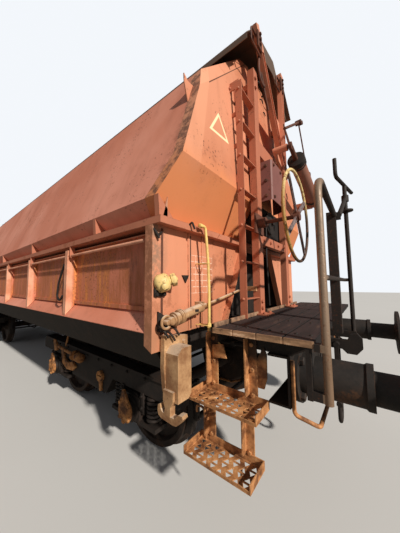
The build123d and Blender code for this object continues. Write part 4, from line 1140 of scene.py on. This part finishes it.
class WAGON_OT_ladder_fittings(bpy.types.Operator, WagonOperator):
    """Flat bar on the wall beside the ladder, its ties, the column feet and the deck's edging"""

    bl_idname = "wagon.ladder_fittings"
    bl_label = "Fit the ladder to the wall"

    def execute(self, context):
        bottom, top, inner, outer = 2.50, 3.44, 0.005, -0.024
        bar = [(bottom, inner), (top, inner), (top, outer), (bottom, outer)]
        bar = along(-0.640, *((wall_back(z) + out, z) for z, out in bar))
        pieces = [cut_plate("wall_bar", bar, (0, 0.012, 0), 0.002)]
        for z in (2.52, 2.80, 3.10, 3.40):
            near, far = at(wall_back(z) + 0.006, -0.712, z), at(0.446, -0.698, z + 0.040)
            pieces.append(rounded_block("wall_tie", near, far, 0.002))
        foot_top = deck_top + 0.013
        for y in (-0.40, 0.43):
            low, high = at(0.45, y - 0.09, deck_top), at(0.335, y + 0.09, foot_top)
            pieces.append(rounded_block("foot", low, high, 0.002))
        heads = on_face([at(0.37, y, foot_top) for y in (-0.465, -0.335, 0.365, 0.495)], upward)
        pieces.append(copied(bolt(self.sizes.small_bolt, 0.014), "foot_bolts", heads))
        dressed(joined("ladder_fittings", pieces), "oxide_column")
        edging = rounded_block("deck_edging", at(0.450, -1.155, 1.315), at(0.436, 0.90, 1.350), 0.003)
        dressed(edging, "edging_wood")
        return {"FINISHED"}


class WAGON_OT_gear_fittings(bpy.types.Operator, WagonOperator):
    """Near-black block behind the hand wheel, painted shade of the recess there, with a sprocket, shaft and
    chain rod
    """

    bl_idname = "wagon.gear_fittings"
    bl_label = "Fit the hand wheel's gear"

    def execute(self, context):
        # Painted shade: a near-black block stands where the recess behind the wheel lies in shade
        case = rounded_block("recess_shade_block", at(0.600, -0.345, 2.012), at(0.484, 0.700, 2.42), 0.012)
        dressed(step_face(case, forward, (0.025, -0.012)), "recess_shade_black")
        y, z = -0.05, 2.25
        wheel = disc("sprocket", at(0.46, y, z), at(0.43, y, z), 0.25, 18)
        softened(step_face(wheel, forward, (0.030, -0.008), (0.045, 0.016)), 0.003)
        shaft = bent_bar("gear_shaft", [at(0.58, y, z), at(0.40, y, z)], 0.045)
        chain = bent_bar("chain_rod", across(0.445, (-0.16, 2.25), (-0.18, 1.90), (-0.14, 1.38)), 0.018, 0.02)
        dressed(joined("gear_sprocket", [wheel, shaft, chain]))
        return {"FINISHED"}


class WAGON_OT_step_fittings(bpy.types.Operator, WagonOperator):
    """Strap, tab, bolts and bent rods of the left steps"""

    bl_idname = "wagon.step_fittings"
    bl_label = "Fit the steps"

    def execute(self, context):
        strap = along(-1.077, (0.205, 0.985), (0.150, 0.985), (0.132, 1.05), (0.130, 1.185), (0.148, 1.225),
                      (0.205, 1.125))
        tab = along(-1.094, (0.505, 1.19), (0.420, 1.20), (0.392, 1.115), (0.500, 1.105))
        rod = along(-1.086, (0.648, 0.700), (0.650, 0.742), (0.600, 0.750), (0.566, 0.715), (0.562, 0.600),
                    (0.572, 0.548))
        hanging = [at(0.300, -1.086, 0.549), at(0.300, -1.10, 0.47), at(0.296, -1.10, 0.40)]
        heads = [at(back, -1.081, z) for back in (0.50, 0.22) for z in (0.935, 1.08, 1.23)]
        heads += [at(back, -1.081, z) for back in (0.525, 0.25) for z in (0.60, 0.82)]
        pieces = [
            cut_plate("pointed_strap", strap, (0, 0.012, 0), 0.002),
            cut_plate("tab", tab, (0, 0.014, 0), 0.002),
            bent_bar("bent_rod", rod, 0.016, 0.015),
            bent_bar("hanging_rod", hanging, 0.014, 0.015),
            copied(bolt(self.sizes.small_bolt * 0.85, 0.010), "step_bolts", on_face(heads, leftward)),
        ]
        dressed(joined("step_fittings", pieces), "tan_iron")
        return {"FINISHED"}


class WAGON_OT_valve(bpy.types.Operator, WagonOperator):
    """Dome, nut, knob, pipe and clamp of the air valve, in place of the plain valve"""

    bl_idname = "wagon.valve"
    bl_label = "Model the air valve"

    def execute(self, context):
        valve = dressed(self.valve(), "valve_cream")
        pipe = dressed(self.pipe(), "pipe_yellow")
        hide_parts("air_valve")
        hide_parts("air_valve")
        clamp = rounded_block("clamp", at(0.650, -1.478, 1.560), at(0.620, -1.425, 1.640), 0.004)
        pad = rounded_block("pad", at(0.650, -1.490, 1.528), at(0.636, -1.400, 1.580), 0.003)
        spots = on_face(across(0.636, (-1.475, 1.542), (-1.415, 1.542)), forward)
        bolts = copied(bolt(self.sizes.small_bolt * 0.8, 0.010), "clamp_bolts", spots)
        dressed(joined("valve_clamp", [clamp, pad, bolts]))
        return {"FINISHED"}

    def valve(self):
        centre, way = at(0.622, -1.434, 1.612), Vector((0.62, 0.74, 0.28)).normalized()
        bowl = disc("bowl", centre - way * 0.030, centre + way * 0.016, 0.112, 32)
        step_face(bowl, way, (0.006, 0.012), (0.010, 0.008), (0.010, 0.002), (0.002, 0.016))
        step_face(bowl, -way, (0.008, 0.012), (0.012, 0.010), (0.014, 0.005))
        nut = disc("nut", centre + way * 0.048, centre + way * 0.078, 0.082, 6)
        step_face(nut, way, (0.010, 0.005), (0.007, -0.007), (0.006, 0.012), (0.005, 0.002))
        knob = disc("knob", at(0.615, -1.455, 1.590), at(0.566, -1.468, 1.590), 0.046, 20)
        step_face(knob, forward, (0.006, 0.005), (0.006, 0.003))
        return joined("valve_body", [softened(bowl, 0.003), softened(nut, 0.002), softened(knob, 0.002)])

    def pipe(self):
        """The pipe, its two loops to the wall and its unions."""
        wall, back = 0.650, 0.545
        pieces = [bent_bar("pipe", across(back, *pipe_line), 0.021, 0.022, 4)]
        for y, z in (pipe_line[3], pipe_line[5]):
            loop = [at(wall, y - 0.020, z), at(back, y - 0.018, z), at(0.532, y, z)]
            loop += [at(back, y + 0.018, z), at(wall, y + 0.020, z)]
            pieces.append(bent_bar("loop", loop, 0.007, 0.008))
        # point of the line, half length along y and z, diameter
        for (y, z), half_y, half_z, wide in ((pipe_line[0], 0.014, 0, 0.034), (pipe_line[5], 0, 0.016, 0.032)):
            ends = across(back, (y - half_y, z - half_z), (y + half_y, z + half_z))
            pieces.append(disc("union", *ends, wide, 6, 0.002))
        return joined("air_pipe", pieces)


class WAGON_OT_shaft_fittings(bpy.types.Operator, WagonOperator):
    """Collars, ring, pin, slot and bracket of the flap gear's shaft"""

    bl_idname = "wagon.shaft_fittings"
    bl_label = "Fit the gear shaft"

    def execute(self, context):
        start, tip = at(0.575, -1.406, 1.389), at(0.575, -0.470, 1.555)
        way = (tip - start).normalized()
        # near and far end from the shaft's start, diameter
        pieces = [
            disc("collar", start + way * near, start + way * far, wide, 28, 0.003) for near, far, wide in
            ((0.012, 0.026, 0.086), (0.060, 0.067, 0.092), (0.075, 0.082, 0.092), (0.272, 0.292, 0.068))
        ]
        # name, distance before the start, reach back and ahead, diameter, sides, rounding
        for name, before, back, ahead, wide, sides, edge in (
            ("ring_boss", 0.018, 0.030, 0.030, 0.050, 20, 0.008),
            ("pin", 0.050, 0.020, 0.024, 0.030, 16, 0.004),
        ):
            middle = start - way * before
            ends = middle - Vector(forward) * back, middle + Vector(forward) * ahead
            pieces.append(disc(name, *ends, wide, sides, edge))
        dressed(joined("shaft_collars", pieces), "casting_iron")
        middle = start + way * 0.205
        low, high = middle + Vector((0.022, -0.020, -0.008)), middle + Vector((0.031, 0.020, 0.010))
        bracket = across(0.648, (-1.462, 1.44), (-1.385, 1.395), (-1.385, 1.30), (-1.462, 1.32))
        pieces = [rounded_block("slot", low, high, 0.003), cut_plate("bracket", bracket, (0.014, 0, 0), 0.002)]
        dressed(joined("shaft_bracket", pieces))
        return {"FINISHED"}


class WAGON_OT_brake_lines(bpy.types.Operator, WagonOperator):
    """Brake pipe, its clips, cocks and the pull rods under the frame"""

    bl_idname = "wagon.brake_lines"
    bl_label = "Run the brake lines"

    def execute(self, context):
        reach = headstock_x - 0.13
        pipe_y, pipe_z = -0.36, 1.03
        pieces = [bent_bar("pipe", [(-reach, pipe_y, pipe_z), (reach, pipe_y, pipe_z)], 0.034)]
        for y in (-0.25, 0.25):
            pieces.append(bent_bar("pull_rod", [(-2.0, y, 0.965), (2.0, y, 0.965)], 0.030))
            for x in (-1.8, -0.6, 0.6, 1.8):
                low, high = (x - 0.03, y - 0.03, 0.945), (x + 0.03, y + 0.03, 1.002)
                pieces.append(rounded_block("hanger", low, high, 0.003))
        for x in (-4.9, -4.1, -2.0, -1.0, 0.0, 1.0, 2.0, 4.1, 4.9):
            pieces.append(rounded_block("clip", (x - 0.02, -0.385, 1.005), (x + 0.02, -0.295, 1.060), 0.003))
        for end in (1, -1):
            # points as distance past the headstock, y and z
            for name, near, far, wide, sides in (
                ("cock", (-0.14, -0.36, 1.03), (0.03, -0.30, 0.98), 0.042, 4),
                ("cock_handle", (0.02, -0.30, 0.985), (0.02, -0.24, 1.05), 0.014, 3),
            ):
                line = [(end * (headstock_x + past), end * y, z) for past, y, z in (near, far)]
                pieces.append(bent_bar(name, line, wide, sides=sides))
        dressed(joined("brake_lines", pieces))
        return {"FINISHED"}


class WAGON_OT_stage(bpy.types.Operator, WagonOperator):
    """Sets up the pale floor, the lights and the camera"""

    bl_idname = "wagon.stage"
    bl_label = "Build the stage"

    def execute(self, context):
        stage = context.scene.wagon_stage
        self.add_floor(stage)
        self.add_sun(stage)
        self.add_world(stage)
        self.add_camera(stage)
        context.scene.view_settings.view_transform = "Standard"
        return {"FINISHED"}

    def add_floor(self, stage):
        """A floor that the camera sees paler than it lights the wagon's underside."""
        deselect()
        bpy.ops.mesh.primitive_plane_add(size=stage.floor_size, location=(0, 0, 0))
        floor = named("studio_floor")
        paint = Paint("studio_floor")
        pale = paint.mix((0.66, 0.655, 0.645), (0.72, 0.715, 0.705), paint.noise(0.35, 3))
        seen = paint.node("ShaderNodeLightPath", output="Is Camera Ray")
        floor.data.materials.append(paint.finish(paint.mix((0.26, 0.24, 0.21), pale, seen), 0.9))

    def add_sun(self, stage):
        bpy.ops.object.light_add(type="SUN", location=(0, 0, 20))
        sun = bpy.context.object
        sun.name = "studio_key"
        towards = Vector((-0.831, 0.252, -0.496))
        sun.rotation_euler = towards.to_track_quat("-Z", "Y").to_euler()
        sun.data.energy = stage.sun_power
        sun.data.color = (1.0, 0.94, 0.85)
        sun.data.angle = math.radians(2)

    def add_world(self, stage):
        """A sky that lights the wagon weakly, but that the camera sees pale."""
        world = bpy.data.worlds.new("studio_room")
        world.use_nodes = True
        bpy.context.scene.world = world
        tree = world.node_tree
        lit, seen = tree.nodes["Background"], tree.nodes.new("ShaderNodeBackground")
        for sky, colour, power in (
            (lit, (0.94, 0.96, 1.0, 1.0), stage.fill_power),
            (seen, (0.90, 0.93, 0.97, 1.0), 1.0),
        ):
            sky.inputs["Color"].default_value = colour
            sky.inputs["Strength"].default_value = power
        path = tree.nodes.new("ShaderNodeLightPath")
        blend = tree.nodes.new("ShaderNodeMixShader")
        tree.links.new(path.outputs["Is Camera Ray"], blend.inputs[0])
        tree.links.new(lit.outputs[0], blend.inputs[1])
        tree.links.new(seen.outputs[0], blend.inputs[2])
        tree.links.new(blend.outputs[0], tree.nodes["World Output"].inputs["Surface"])

    def add_camera(self, stage):
        yaw, pitch, roll = math.radians(52.07), math.radians(4.77), math.radians(-0.51)
        ahead, y, height = 0.36, -2.33, 1.60
        gaze = Vector((-math.cos(yaw) * math.cos(pitch), math.sin(yaw) * math.cos(pitch), math.sin(pitch)))
        level = Vector((math.sin(yaw), math.cos(yaw), 0))
        upright = level.cross(gaze)
        right = level * math.cos(roll) + upright * math.sin(roll)
        up = upright * math.cos(roll) - level * math.sin(roll)
        turn = Matrix((right, up, -gaze)).transposed().to_4x4()
        bpy.ops.object.camera_add()
        camera = bpy.context.object
        camera.name = "photo_view"
        camera.matrix_world = Matrix.Translation(at(-ahead, y, height)) @ turn
        camera.data.lens = stage.lens
        camera.data.sensor_width = 36
        camera.data.clip_start = 0.05
        camera.data.clip_end = 300
        bpy.context.scene.camera = camera


class WAGON_PT_panel(bpy.types.Panel):
    """Lists the wagon's operators in the sidebar"""

    bl_label = "Hopper wagon"
    bl_idname = "WAGON_PT_panel"
    bl_space_type = "VIEW_3D"
    bl_region_type = "UI"
    bl_category = "Wagon"

    def draw(self, context):
        for operator in operators:
            self.layout.operator(operator.bl_idname)


operators = (
    WAGON_OT_paint, WAGON_OT_springs, WAGON_OT_axle_lids, WAGON_OT_bogie_fittings, WAGON_OT_bolts,
    WAGON_OT_roof_fittings, WAGON_OT_roof_linkage, WAGON_OT_side_fittings, WAGON_OT_ladder_fittings,
    WAGON_OT_gear_fittings, WAGON_OT_step_fittings, WAGON_OT_valve, WAGON_OT_shaft_fittings,
    WAGON_OT_brake_lines, WAGON_OT_stage,
)
classes = (WagonFinish, WagonFittings, WagonStage, *operators, WAGON_PT_panel)


def register():
    for cls in classes:
        bpy.utils.register_class(cls)
    bpy.types.Scene.wagon_finish = PointerProperty(type=WagonFinish)
    bpy.types.Scene.wagon_fittings = PointerProperty(type=WagonFittings)
    bpy.types.Scene.wagon_stage = PointerProperty(type=WagonStage)


def unregister():
    del bpy.types.Scene.wagon_stage
    del bpy.types.Scene.wagon_fittings
    del bpy.types.Scene.wagon_finish
    for cls in reversed(classes):
        bpy.utils.unregister_class(cls)


def main():
    register()
    bpy.ops.wagon.paint()
    bpy.ops.wagon.springs()
    bpy.ops.wagon.axle_lids()
    bpy.ops.wagon.bogie_fittings()
    bpy.ops.wagon.bolts()
    bpy.ops.wagon.roof_fittings()
    bpy.ops.wagon.roof_linkage()
    bpy.ops.wagon.side_fittings()
    bpy.ops.wagon.ladder_fittings()
    bpy.ops.wagon.gear_fittings()
    bpy.ops.wagon.step_fittings()
    bpy.ops.wagon.valve()
    bpy.ops.wagon.shaft_fittings()
    bpy.ops.wagon.brake_lines()
    bpy.ops.wagon.stage()


if __name__ == "__main__":
    main()
